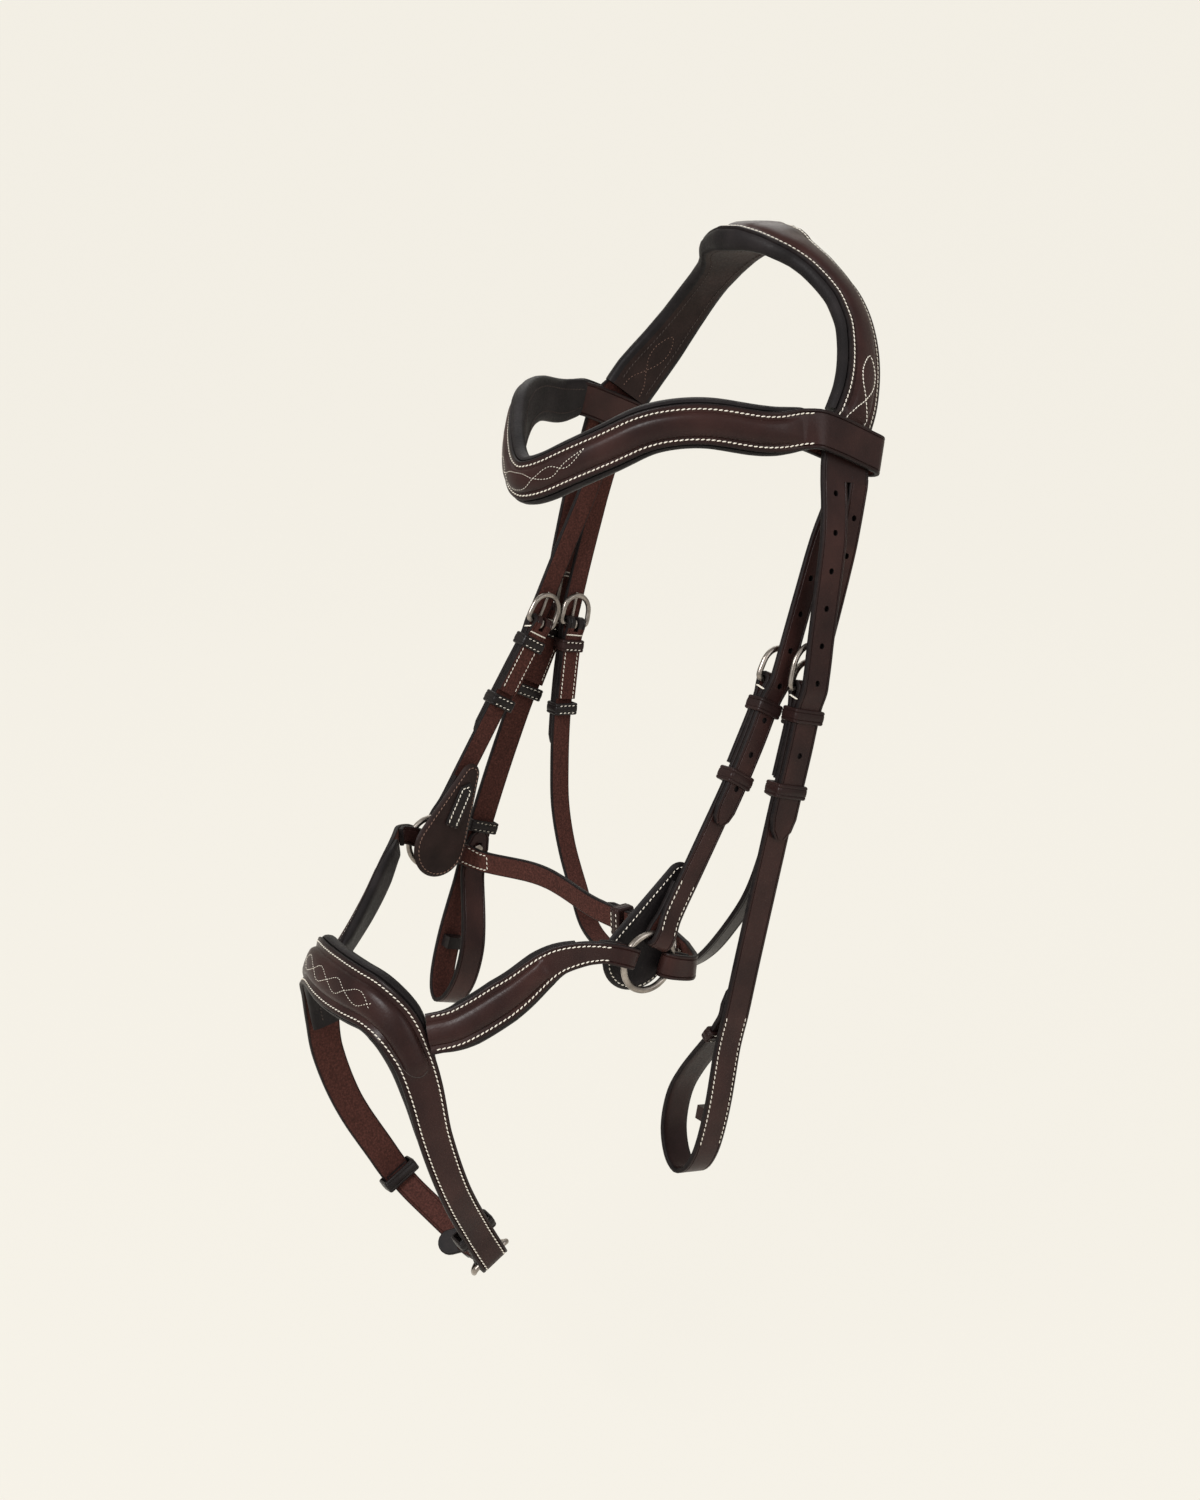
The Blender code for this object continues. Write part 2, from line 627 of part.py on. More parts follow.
def add_cheek(side_name, side):
    """One cheekpiece: billet, strap with its bit loop, buckle, keepers and stud."""
    route = cheek_route(side)
    hold = Buckled(route, 0, CHEEK_WIDTH)
    top = route.mark(0)
    hinge = route.at(top, BILLET_OVER_FRAME)
    label = side_name + "_cheek_"
    length = CHEEK_LENGTHS[side]
    add_billet(label + "billet", hold, top + GAP, CHEEK_WIDTH, hinge)
    add_frame(label + "buckle", hold, CHEEK_WIDTH, hinge)
    add_prong(label + "prong", hold)
    loop_top = length - BIT_LOOP_TOP
    shares = (
        (0.8, 0.03), (0.5, -0.01), (0.22, 0.04), (0.06, 0.2), (0, 0.46), (0.06, 0.75),
        (0.22, 0.96), (0.45, 0.93), (0.68, 0.6), (0.87, 0.25),
    )
    drop = [Vector((loop_top, LAYER, 0))]
    for run_share, depth_share in shares:
        depth = BIT_LOOP_DEPTHS[side] * depth_share
        drop.append(Vector((length - BIT_LOOP_TOP * run_share, LAYER - depth, 0)))
    drop.append(Vector((loop_top, -LAYER, 0)))
    loop = [(place.x, place.y) for place in smooth_line(drop, 2)]
    track = [(CHAPE_END, -LAYER)] + fold(0, -1, FOLD_RADIUS)[::-1]
    track += run(FOLD_RUN, loop_top, LAYER, 6)[1:-1] + loop
    track.append((loop_top - BIT_RETURN, -LAYER))
    bm = strip(hold, track, CHEEK_WIDTH, flat_section())
    strap = add_mesh(label + "strap", bm, LEATHER, hinge)
    cut_prong_slot(strap, hold)
    sew_on_keeper(strap, hold, SEWN_KEEPER_AT, CHEEK_WIDTH)
    stud_at = loop_top - STUD_RADIUS * 1.5
    slit = STUD_RADIUS + SLOT_ROOM
    add_block_cut(strap, hold, (stud_at - slit, stud_at + slit), (-LAYER - STRAP_THICK, 0), STUD_RADIUS * 0.7)
    add_running_keeper(label + "running_keeper", hold, RUNNING_KEEPER_AT, CHEEK_WIDTH)
    keeper_at = stud_at - STUD_RADIUS - KEEPER_HEIGHT * 1.5
    side_of = LAYER + STRAP_THICK / 2
    bm = band(hold, keeper_at, -side_of, side_of, CHEEK_WIDTH)
    add_mesh(side_name + "_bit_loop_keeper", bm, LEATHER, hinge)
    add_stud(side_name + "_hook_stud", hold, stud_at, hinge)
    below = length - BIT_LOOP_TOP * 0.5
    face = LAYER - STRAP_THICK / 2 - GAP
    reach = KEEPER_HEIGHT / 2
    bm = block(hold, (below - reach, below + reach), (face - STRAP_THICK, face), CHEEK_WIDTH / 3)
    add_mesh(side_name + "_lining_keeper", bm, LEATHER, hinge)


def add_stud(name, hold, a, origin):
    """A mushroom stud, turned about its own axis, that the return strap hooks over."""
    place, ahead, out, across = hold.frame(a)
    foot = LAYER - STRAP_THICK / 2 - GAP
    neck = LAYER + STRAP_THICK / 2 + GAP
    head = neck + KEEPER_WALL
    shank = STUD_RADIUS / 2
    bm = bmesh.new()
    profile = ((0, -foot), (shank, -foot), (shank, neck), (STUD_RADIUS, neck), (STUD_RADIUS, head), (0, head))
    verts = [bm.verts.new(place - out * h + ahead * r) for r, h in profile]
    edges = [bm.edges.new(pair) for pair in zip(verts, verts[1:])]
    bmesh.ops.spin(
        bm, geom=verts + edges, cent=place, axis=out, angle=math.tau, steps=HOLE_SIDES, use_merge=True
    )
    bmesh.ops.remove_doubles(bm, verts=bm.verts, dist=GAP / 10)
    return add_mesh(name, bm, NICKEL, origin)


# Noseband hangers, rings and ring pads
HEAD_ENDS = 1 + len([mark for mark in head_marks(HEAD_END) if mark > HEAD_PAD_END])


def hanger_route(side):
    marks = [HEAD_PAD_END + PAD_PROUD] + [m for m in head_marks(HEAD_END) if m > HEAD_PAD_END]
    places = [HEAD.at(-side * mark, HEAD_INNER - BILLET_OVER_FRAME) for mark in marks]
    bar, end = HANGER_BARS[side], places[-1]
    places.append(bar.lerp(end, 0.65) - Vector((side * HANGER_TUCK, 0, 0)))
    foot = ring_centre(side) + ring_arm(hanger_angle(side))
    bow = Vector((0, HANGER_BOWS[side], 0))
    places += [bar.lerp(end, 0.3), bar, bar.lerp(foot, 0.35) + bow, bar.lerp(foot, 0.7) + bow * 0.5]
    places += [foot, foot + (foot - bar) * 0.2]
    return Route(places, outward_all(side, len(places)), zero=len(marks) + 2)


def hanger_angle(side):
    """The hanger points at the middle of its ring."""
    away = HANGER_BARS[side] - ring_centre(side)
    return math.atan2(away.z, away.y)


def ring_centre(side):
    return sideways(RING_CENTRE, side)


def ring_arm(angle):
    """From a ring's centre to its wire, in the plane that the ring lies in."""
    return Vector((0, RING_RADIUS * math.cos(angle), RING_RADIUS * math.sin(angle)))


def add_hanger(side_name, side):
    """A hanger strap from the headpiece's inner billet to its ring."""
    route = hanger_route(side)
    hold = Buckled(route, 0, HANGER_WIDTH)
    length = (ring_centre(side) + ring_arm(hanger_angle(side)) - HANGER_BARS[side]).length
    label = side_name + "_hanger_"
    tops = [route.mark(i) for i in range(HEAD_ENDS)]
    start = [(mark, BILLET_OVER_FRAME) for mark in tops] + run(tops[-1], -hold.reach, BILLET_OVER_FRAME, 3)[1:]
    add_billet(side_name + "_noseband_billet", hold, tops[-1], HANGER_WIDTH, Vector(), start=start)
    add_frame(label + "buckle", hold, HANGER_WIDTH, Vector())
    add_prong(label + "prong", hold)
    foot = fold(length, 1, RING_FOLD, RING_WIRE, RING_SLACK)
    track = [(CHAPE_END, -LAYER)] + fold(0, -1, FOLD_RADIUS)[::-1]
    track += run(FOLD_RUN, foot[0][0], LAYER, 5)[1:-1] + foot
    track.append((length - RING_RETURN, -LAYER))
    strap = add_mesh(label + "strap", strip(hold, track, HANGER_WIDTH, flat_section()), LEATHER, Vector())
    cut_prong_slot(strap, hold)
    sew_on_keeper(strap, hold, SEWN_KEEPER_AT, HANGER_WIDTH)
    add_running_keeper(label + "running_keeper", hold, RUNNING_KEEPER_AT, HANGER_WIDTH)


def add_ring(side_name, side):
    bpy.ops.mesh.primitive_torus_add(
        major_radius=RING_RADIUS, minor_radius=RING_WIRE, major_segments=26, minor_segments=6,
        location=ring_centre(side), rotation=(0, math.pi / 2, 0),
    )
    made = bpy.context.object
    made.name = side_name + "_ring"
    bpy.ops.object.shade_smooth()
    made.data.materials.append(make_look(made.name, NICKEL))


def add_ring_pad(side_name, side):
    """A teardrop pad behind the ring, whose neck runs up along the hanger."""
    centre = ring_centre(side)
    outer = centre.x - side * (RING_FOLD + STRAP_THICK / 2 + GAP)
    neck = RING_PAD_NECK / 2
    spread = math.acos((RING_PAD_RADIUS - neck) / RING_PAD_RISE)
    up = hanger_angle(side)
    rear = centre.y + RING_PAD_RISE * math.cos(up) + neck
    bm = bmesh.new()
    verts = []
    for hub, radius, start, sweep_angle in (
        (0, RING_PAD_RADIUS, up + spread, math.tau - 2 * spread),
        (RING_PAD_RISE, neck, up - spread, 2 * spread),
    ):
        for i in range(ROUND_STEPS // 2 + 1):
            turn = start + sweep_angle * i / (ROUND_STEPS // 2)
            y = centre.y + hub * math.cos(up) + radius * math.cos(turn)
            z = centre.z + hub * math.sin(up) + radius * math.sin(turn)
            verts.append(bm.verts.new((outer - side * RING_PAD_TILT * (rear - y), y, z)))
    face = bm.faces.new(verts)
    made = bmesh.ops.extrude_face_region(bm, geom=[face])["geom"]
    moved = [item for item in made if isinstance(item, bmesh.types.BMVert)]
    bmesh.ops.translate(bm, verts=moved, vec=Vector((-side * RING_PAD_THICK, 0, 0)))
    add_mesh(side_name + "_ring_pad", bm, PADDING, Vector())


# Throatlatch
def throat_route():
    w = (BILLETS_WIDTH - THROAT_WIDTH) / 2
    places, outs = [strap_top(1, HEAD_OUTER, w)], [Vector((1, 0, 0))]
    aside = Vector((HANGER_TUCK, 0, 0))
    places.append(places[0].lerp(THROAT_BAR, 0.3) + aside)
    outs.append(Vector((1, 0, 0)))
    for x, y, z in zip(THROAT_X_SHARES, THROAT_Y_SHARES, THROAT_Z_SHARES):
        drop = Vector(((x - 1) * THROAT_BAR.x, -THROAT_SWEEP * y, -THROAT_DEPTH * z))
        places.append(THROAT_BAR + drop)
        outs.append(Vector((x * (1 - z * 0.6), 0, -z * z)))
    far_top = strap_top(-1, HEAD_OUTER, w)
    places += [far_top.lerp(places[-1], 0.3) - aside, far_top]
    outs += [Vector((-1, 0, 0))] * 2
    return Route(places, outs)


def add_throatlatch():
    """The strap under the throat, buckled to a billet on each side."""
    route = throat_route()
    first, last = 2, len(THROAT_X_SHARES) + 1
    hinge = Vector((0, route.at(0).y, route.at(0).z))
    holds = {
        "near": Buckled(route, route.mark(first), THROAT_WIDTH),
        "far": Buckled(route, route.mark(last), THROAT_WIDTH, heading=-1),
    }
    tops = {
        "near": route.mark(0) - route.mark(first),
        "far": route.mark(last) - route.mark(last + 2),
    }
    length = route.mark(last) - route.mark(first)
    near = [(CHAPE_END, -LAYER)] + fold(0, -1, FOLD_RADIUS)[::-1]
    track = near + run(FOLD_RUN, length - FOLD_RUN, LAYER, 18)[1:-1]
    track += [(length - a, o) for a, o in reversed(near)]
    bm = strip(holds["near"], track, THROAT_WIDTH, flat_section())
    strap = add_mesh("throatlatch_strap", bm, LEATHER, hinge)
    for side_name, hold in holds.items():
        label = side_name + "_throat_"
        add_billet(label + "billet", hold, tops[side_name] + GAP, THROAT_WIDTH, hinge)
        add_frame(label + "buckle", hold, THROAT_WIDTH, hinge)
        add_prong(label + "prong", hold)
        cut_prong_slot(strap, hold)
        sew_on_keeper(strap, hold, SEWN_KEEPER_AT, THROAT_WIDTH)
        add_running_keeper(label + "running_keeper", hold, RUNNING_KEEPER_AT, THROAT_WIDTH)


# Browband
LOOP_MIDDLE = (HEAD_OUTER + HEAD_INNER) / 2
LOOP_RADIUS = LAYER + STRAP_THICK + LOOP_ROOM / 2
LOOP_WIDTH = BILLETS_WIDTH + 2 * LOOP_ROOM
BROW_PAD_THICK = 5.5 * MM


def brow_route():
    """From the near loop round the brow to the far one, waved and dipped in front."""
    loop = -HEAD_END * BROW_LOOP_SHARE
    frame = HEAD.frame(loop)
    back = HEAD.at(loop, LOOP_MIDDLE, LOOP_WIDTH / 2)
    front = HEAD.at(loop, LOOP_MIDDLE, -LOOP_WIDTH / 2 - STRAP_THICK)
    lead = front + (front - back) * (1 - BROW_LOOP_SHARE)
    places, outs = [back, front, lead], [frame[2], frame[2], frame[2]]
    table = zip(BROW_X_SHARES, BROW_Y_SHARES, BROW_RISE_SHARES, BROW_DIP_SHARES)
    for x, y, rise, dip in reversed(list(table)):
        height = BROW_RISE * rise - BROW_DIP * dip - BROW_LEVEL
        places.append(Vector((BROW_HALF_SPAN * x, -BROW_FORWARD * y, height)))
        outs.append(Vector((x, -y * (1 - x * 0.6), 0)))
    return Route(places + mirrored(places), outs + mirrored(outs), zero=len(places) - 1)


def add_browband():
    """Leather that loops round the strap ends, and the padding behind its front."""
    route = brow_route()
    reach = -route.mark(0)
    loop_run = LOOP_WIDTH + STRAP_THICK
    near = fold(-reach, -1, LOOP_RADIUS, loop_run)
    near[-1] = (near[-1][0], -LAYER * 1.8)
    inner = -reach + loop_run + FOLD_RUN
    front = run(inner + PAD_PROUD, -inner - PAD_PROUD, LAYER, 34)
    track = near[::-1] + front + [(-s, o) for s, o in near]
    sections = [raised_section(abs(s) < -inner - PAD_PROUD * 2) for s, _ in track]
    add_mesh("browband_leather", strip(route, track, BROW_HEIGHT, sections), LEATHER, Vector())
    height = LAYER - STRAP_THICK / 2 - PAD_GAP - BROW_PAD_THICK / 2
    track = [(s, height) for s, _ in front[1:-1]]
    bm = strip(route, track, BROW_PAD_HEIGHT, padded_section(BROW_PAD_THICK))
    add_mesh("browband_padding", bm, PADDING, Vector())


# Noseband
NOSE_PAD_THICK = 5.5 * MM
NOSE_TURN_SHARES = (0, 0.13, 0.34, 0.6, 0.82, 0.93, 0.98, 0.98, 0.98, 0.98)


def nose_places():
    near, outs = [], []
    for x, y, z, turn in zip(NOSE_X_SHARES, NOSE_Y_SHARES, NOSE_Z_SHARES, NOSE_TURN_SHARES):
        near.append(Vector((NOSE_HALF_WIDTH * x, NOSE_BACK * y - NOSE_FRONT, -NOSE_TOP - NOSE_DEPTH * z)))
        outs.append(Vector((turn, 0, 0)) + NOSE_FACE * (1 - turn))
    return near, outs


def nose_route():
    """Once round the nose and chin and a little more: the near arm comes twice."""
    near, outs = nose_places()
    end = near[-1]
    across = Vector((0, 0.84, 0.54))
    under = Vector((0, 0, -1))
    under = under - across * under.dot(across)
    chin = [end + Vector((-end.x * 0.45, 0, 0)) + under * (CHIN_DROP * 0.8)]
    chin.append(Vector((0, end.y, end.z)) + under * CHIN_DROP * 1.15)
    chin_outs = [Vector((0.6, 0, 0)) + under, under]
    round_chin = chin + mirrored(chin)
    round_outs = chin_outs + mirrored(chin_outs)
    far = [Vector((-p.x, p.y, p.z)) for p in near]
    far_outs = [Vector((-p.x, p.y, p.z)) for p in outs]
    places = near[-3:] + round_chin + far[::-1] + near[1:] + chin
    all_outs = outs[-3:] + round_outs + far_outs[::-1] + outs[1:] + chin_outs
    return Route(places, all_outs, zero=5 + len(near))


NOSE = nose_route()
NOSE_COUNT = len(NOSE_X_SHARES)
NOSE_APEX = 5 + NOSE_COUNT


def nose_widths(marks, shares):
    """Widths from the shares at the noseband's own places."""
    known = [NOSE.mark(NOSE_APEX + i) for i in range(len(shares))]
    widths = []
    for mark in marks:
        i = 0
        while i < len(shares) - 2 and known[i + 1] < abs(mark):
            i += 1
        share = (abs(mark) - known[i]) / (known[i + 1] - known[i])
        share = min(share, 1)
        widths.append(NOSE_BAND * (shares[i] + (shares[i + 1] - shares[i]) * share))
    return widths


def add_noseband(pivot):
    """The nosepiece and its arms, its padding and the strap under the chin."""
    near_end = NOSE.mark(NOSE_APEX + NOSE_COUNT - 1)
    far_end = NOSE.mark(NOSE_APEX - NOSE_COUNT + 1)
    pad_end = NOSE.mark(NOSE_APEX + len(NOSE_PAD_SHARES) - 1)
    arm = run(pad_end, near_end - FOLD_RUN, LAYER, 9)[1:-1]
    middle = run(-pad_end, pad_end, LAYER, 44)
    track = run(far_end, -pad_end, LAYER, 8)[:-1] + middle + arm + fold(near_end, 1, FOLD_RADIUS)
    track += [(s, -LAYER) for s, _ in reversed(arm) if s > near_end - CHAPE_END * 0.6]
    widths = nose_widths([s for s, _ in track], NOSE_WIDTH_SHARES)
    sections = [raised_section(abs(s) < pad_end * 0.99) for s, _ in track]
    leather = add_mesh("nose_leather", strip(NOSE, track, widths, sections), LEATHER, pivot)
    height = LAYER - STRAP_THICK / 2 - PAD_GAP - NOSE_PAD_THICK / 2
    track = [(s, height) for s, _ in middle]
    widths = nose_widths([s for s, _ in track], NOSE_PAD_SHARES)
    bm = strip(NOSE, track, widths, padded_section(NOSE_PAD_THICK))
    add_mesh("nose_padding", bm, PADDING, pivot)
    wide = NOSE_BAND * NOSE_WIDTH_SHARES[-1]
    hold = Buckled(NOSE, NOSE.mark(2), wide, heading=-1, face=-1)
    cut_hold = Buckled(NOSE, near_end, wide, heading=-1, face=-1)
    cut_prong_slot(leather, cut_hold)
    add_frame("chin_buckle", hold, wide, pivot)
    add_prong("chin_prong", hold)
    overlap = -(far_end - NOSE.mark(2)) - FOLD_RUN
    start = [(overlap, LAYER * 2)]
    start += run(overlap + FOLD_RUN, -hold.reach - FOLD_RUN, BILLET_OVER_FRAME / 2, 8)
    start.append((-hold.reach - 2 * WIRE_RADIUS, BILLET_OVER_FRAME))
    start.append((-hold.reach, BILLET_OVER_FRAME))
    add_billet("chin_strap", hold, 0, CHIN_WIDTH, pivot, tail=CHIN_TAIL, start=start)
    side_of = LAYER + STRAP_THICK / 2
    bm = band(hold, overlap + KEEPER_HEIGHT * 0.6, -side_of, side_of + 2 * LAYER, wide + LAYER)
    add_mesh("far_chin_keeper", bm, LEATHER, pivot)
    add_running_keeper("near_chin_keeper", hold, CHAPE_END * 0.5, wide + STRAP_THICK)


# Front branches
def branch_route(side):
    """From the ring's front, bowed out round the face, to the side of the nosepiece."""
    start = ring_centre(side) + ring_arm(BRANCH_ANGLE)
    lead = start + ring_arm(BRANCH_ANGLE) * 0.25
    places, outs = [start, lead], [Vector((side, 0, 0))] * 2
    for x, y, z in zip(BRANCH_X_SHARES, BRANCH_Y_SHARES, BRANCH_Z_SHARES):
        away = Vector((-side * BRANCH_INWARD * x, -BRANCH_FORWARD * y, -BRANCH_FALL * z))
        places.append(start + away)
        outs.append(Vector((side, -BRANCH_FACING[0] * x, BRANCH_FACING[1] * x)))
    return Route(places, outs)


def add_branch(side_name, side, pivot):
    route = branch_route(side)
    end = route.mark(len(BRANCH_X_SHARES) + 1)
    foot = fold(0, -1, RING_FOLD, RING_WIRE, BRANCH_SLACK)[::-1]
    lead = foot[-1][0]
    track = [(BRANCH_RETURN, -LAYER)] + foot
    widths = [BRANCH_WIDTH] * len(track)
    shares = [i / 20 for i in range(1, 21)]
    spread = [BRANCH_WIDTH + (BRANCH_WIDE - BRANCH_WIDTH) * min(share / 0.6, 1) for share in shares]
    track += [(lead + (end - lead) * share, LAYER) for share in shares]
    sections = [raised_section(0)] * (len(widths) + 6) + [raised_section()] * 14
    bm = strip(route, track, widths + spread, sections)
    add_mesh(side_name + "_front_branch", bm, LEATHER, pivot)
    height = LAYER - STRAP_THICK / 2 - PAD_GAP - PAD_THICK / 2
    track = [(s, height) for s, _ in track[-16:-4]]
    widths = [width + PAD_PROUD * 2 for width in spread[-16:-4]]
    bm = strip(route, track, widths, padded_section(PAD_THICK))
    add_mesh(side_name + "_branch_padding", bm, PADDING, pivot)


# Jaw strap
JAW_SLACK = 1.6 * MM


def jaw_route():
    """Back from the near ring, across behind the jaw and forward to the far one."""
    halves = []
    low = Vector((0, RING_CENTRE.y + RING_RADIUS + JAW_BACK, RING_CENTRE.z - JAW_SAG))
    for side, angle in JAW_ANGLES.items():
        arm = ring_arm(angle).normalized()
        start = ring_centre(side) + ring_arm(angle)
        half = [start, start + arm * (JAW_BACK * 0.45)]
        half.append(start + arm * (JAW_BACK * 0.68) - Vector((side * JAW_TURN, 0, 0)))
        half.append(Vector((start.x * 0.5, low.y, (low.z * 3 + start.z) / 4)))
        halves.append(half)
    near, far = halves
    side, back = Vector((1, 0, 0)), Vector((0, 1, 0))
    outs = [side, side, side + back, back, back]
    return Route(near + [low] + far[::-1], outs + mirrored(outs))


def add_jaw_strap(pivot):
    """A short billet from the near ring and a buckled strap from the far one."""
    route = jaw_route()
    length = route.mark(8)
    hold = Buckled(route, JAW_BUCKLE_AT, JAW_WIDTH)
    first = -JAW_BUCKLE_AT
    lead = fold(first, -1, RING_FOLD, RING_WIRE, JAW_SLACK)[::-1]
    turns = run(lead[-1][0], -hold.reach - 2 * WIRE_RADIUS, BILLET_OVER_FRAME, 6)
    lead += [(s, LAYER + (BILLET_OVER_FRAME - LAYER) * i / 6) for i, (s, _) in enumerate(turns)][1:]
    lead.append((-hold.reach, BILLET_OVER_FRAME))
    add_billet("jaw_billet", hold, 0, JAW_WIDTH, pivot, tail=JAW_TAIL, start=lead)
    add_frame("jaw_buckle", hold, JAW_WIDTH, pivot)
    add_prong("jaw_prong", hold)
    foot = fold(length + first, 1, RING_FOLD, RING_WIRE, JAW_SLACK)
    track = [(CHAPE_END * 0.7, -LAYER)] + fold(0, -1, FOLD_RADIUS)[::-1]
    track += run(FOLD_RUN, foot[0][0], LAYER, 18)[1:-1] + foot
    strap = add_mesh("jaw_strap", strip(hold, track, JAW_WIDTH, flat_section()), LEATHER, pivot)
    cut_prong_slot(strap, hold)
    sew_on_keeper(strap, hold, SEWN_KEEPER_AT, JAW_WIDTH)
    add_running_keeper("jaw_running_keeper", hold, RUNNING_KEEPER_AT * 0.8, JAW_WIDTH)


def main():
    for old in list(bpy.data.objects):
        bpy.data.objects.remove(old, do_unlink=True)
    add_headpiece()
    add_browband()
    for side_name, side in SIDES:
        add_cheek(side_name, side)
        add_hanger(side_name, side)
        add_ring(side_name, side)
        add_ring_pad(side_name, side)
    add_throatlatch()
    pivot = Vector((0, ring_centre(1).y, ring_centre(1).z))
    add_noseband(pivot)
    for side_name, side in SIDES:
        add_branch(side_name, side, pivot)
    add_jaw_strap(pivot)


main()
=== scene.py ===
"""The visual model of the bridle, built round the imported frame.

The straps follow the same lines as the solids, with finer sections, sewn rows and real
materials. The horse faces -Y, its left side is +X, and Z is up. Lengths are in metres.
"""
import json
import math
from collections import namedtuple

import bmesh
import bpy
from mathutils import Matrix, Vector


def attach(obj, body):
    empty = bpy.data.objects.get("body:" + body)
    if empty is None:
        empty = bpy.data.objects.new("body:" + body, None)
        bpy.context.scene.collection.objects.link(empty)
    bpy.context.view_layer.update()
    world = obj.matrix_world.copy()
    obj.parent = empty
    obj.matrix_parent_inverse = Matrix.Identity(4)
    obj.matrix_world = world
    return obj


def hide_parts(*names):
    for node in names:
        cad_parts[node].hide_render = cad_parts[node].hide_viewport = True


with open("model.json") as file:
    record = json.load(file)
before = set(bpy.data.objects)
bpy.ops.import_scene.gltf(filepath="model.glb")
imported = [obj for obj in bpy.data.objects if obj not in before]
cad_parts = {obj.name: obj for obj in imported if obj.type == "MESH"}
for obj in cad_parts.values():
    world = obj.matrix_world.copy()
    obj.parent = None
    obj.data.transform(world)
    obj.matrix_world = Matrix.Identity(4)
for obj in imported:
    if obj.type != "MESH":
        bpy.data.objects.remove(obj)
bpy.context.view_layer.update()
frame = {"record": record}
NODE_BODY = {n: b for b, members in frame["record"]["behaviour"]["bodies"].items() for n in members}

MM = 0.001
GAP = 0.3 * MM

# Leather and padding
STRAP_THICK = 2.5 * MM
PAD_THICK = 5.5 * MM
PAD_PROUD = 2.6 * MM
PAD_GAP = 0.8 * MM
CENTRE_RAISE = 2.0 * MM
KEEPER_WALL = 1.3 * MM
KEEPER_HEIGHT = 7.0 * MM
HOLE_WIDTH = 3.0 * MM
HOLE_PITCH = 18.0 * MM
LAYER = STRAP_THICK / 2 + GAP / 2

# Buckles
WIRE_RADIUS = 1.5 * MM
FRAME_REACH_SHARE = 1.38
FRAME_ROOM = 1.2 * MM
PRONG_RADIUS = 0.9 * MM
BAR_CLEARANCE = 0.4 * MM
SLOT_ROOM = 0.6 * MM
PRONG_REACH = WIRE_RADIUS + GAP + PRONG_RADIUS
FOLD_RADIUS = WIRE_RADIUS + BAR_CLEARANCE + STRAP_THICK / 2
BILLET_OVER_FRAME = PRONG_REACH + PRONG_RADIUS + GAP + STRAP_THICK / 2
BILLET_OVER_BAR = FOLD_RADIUS + STRAP_THICK + GAP
BILLET_OVER_STRAP = LAYER + STRAP_THICK + GAP
FOLD_RUN = 8.6 * MM

# Headpiece
HEAD_HALF_SPAN = 95.0 * MM
HEAD_DROP = 107.0 * MM
HEAD_WIDTH = 46.0 * MM
HEAD_SWEEP = 28.0 * MM
HEAD_OUTER = PAD_THICK + PAD_GAP + STRAP_THICK / 2
HEAD_INNER = HEAD_OUTER - STRAP_THICK - GAP
HEAD_X_SHARES = (0, 0.06, 0.12, 0.215, 0.315, 0.4, 0.51, 0.6, 0.713, 0.82, 0.904, 0.943, 0.97, 1)
HEAD_Z_SHARES = (0, 0, 0, 0.024, 0.068, 0.117, 0.187, 0.253, 0.367, 0.511, 0.652, 0.782, 0.879, 1)
HEAD_Y_SHARES = (0, 0.01, 0.03, 0.07, 0.18, 0.24, 0.26, 0.25, 0.15, -0.09, -0.42, -0.73, -0.88, -0.97)
HEAD_WIDTH_SHARES = (1, 0.99, 0.95, 0.87, 0.7, 0.6, 0.55, 0.545, 0.56, 0.62, 0.67, 0.68, 0.68, 0.68)
HEAD_LEAN_SHARES = (0, 0, 0, 0.11, 0.16, 0.18, 0.19, 0.19, 0.17, 0.1, 0.02, 0, 0, 0)
HEAD_PLUMP = 4.5 * MM
HEAD_PLUMP_SHARES = (1, 0.85, 0.5, 0.15, 0, 0, 0, 0, 0, 0, 0, 0, 0, 0)
HEAD_PAD_END_SHARE = 0.815

# Browband
BROW_HEIGHT = 19.0 * MM
BROW_PAD_HEIGHT = 24.0 * MM
BROW_FORWARD = 145.0 * MM
BROW_HALF_SPAN = 102.0 * MM
BROW_LEVEL = 86.0 * MM
BROW_LOOP_SHARE = 0.885
LOOP_ROOM = 2.4 * MM
BROW_RISE = 10.0 * MM
BROW_DIP = 21.0 * MM
BROW_X_SHARES = (0, 0.126, 0.262, 0.408, 0.563, 0.718, 0.893)
BROW_Y_SHARES = (1, 0.98, 0.929, 0.854, 0.756, 0.63, 0.447)
BROW_RISE_SHARES = (0, 0, 0, 0, 0.7, 1, 0.6)
BROW_DIP_SHARES = (1, 0.86, 0.52, 0.12, 0, 0, 0)

# Cheekpieces
CHEEK_WIDTH = 16.0 * MM
CHEEK_BAR = Vector((110.0 * MM, -53.5 * MM, -203.0 * MM))
CHEEK_LEANS = {1: math.radians(15.3), -1: math.radians(17.4)}
CHEEK_LENGTHS = {1: 252.0 * MM, -1: 238.0 * MM}
CHEEK_BOWS = {
    1: ((0.25, 0), (0.6, 0), (0.8, 1.2 * MM), (1, 3.4 * MM)),
    -1: ((0.22, -8.0 * MM), (0.45, -13.0 * MM), (0.7, -15.0 * MM), (1, -15.0 * MM)),
}
CHEEK_FLARE = 0.02
CHEEK_SPREAD = 3.5 * MM
CHEEK_BULGE_SHARES = ((0.22, 1), (0.6, 0.7))
BILLET_TAIL = 74.0 * MM
RUNNING_KEEPER_AT = 50.0 * MM
SEWN_KEEPER_AT = 12.6 * MM
CHAPE_END = 44.0 * MM
BIT_LOOP_TOP = 86.0 * MM
BIT_LOOP_DEPTHS = {1: 31.0 * MM, -1: 27.0 * MM}
BIT_RETURN = 20.0 * MM
STUD_RADIUS = 3.2 * MM

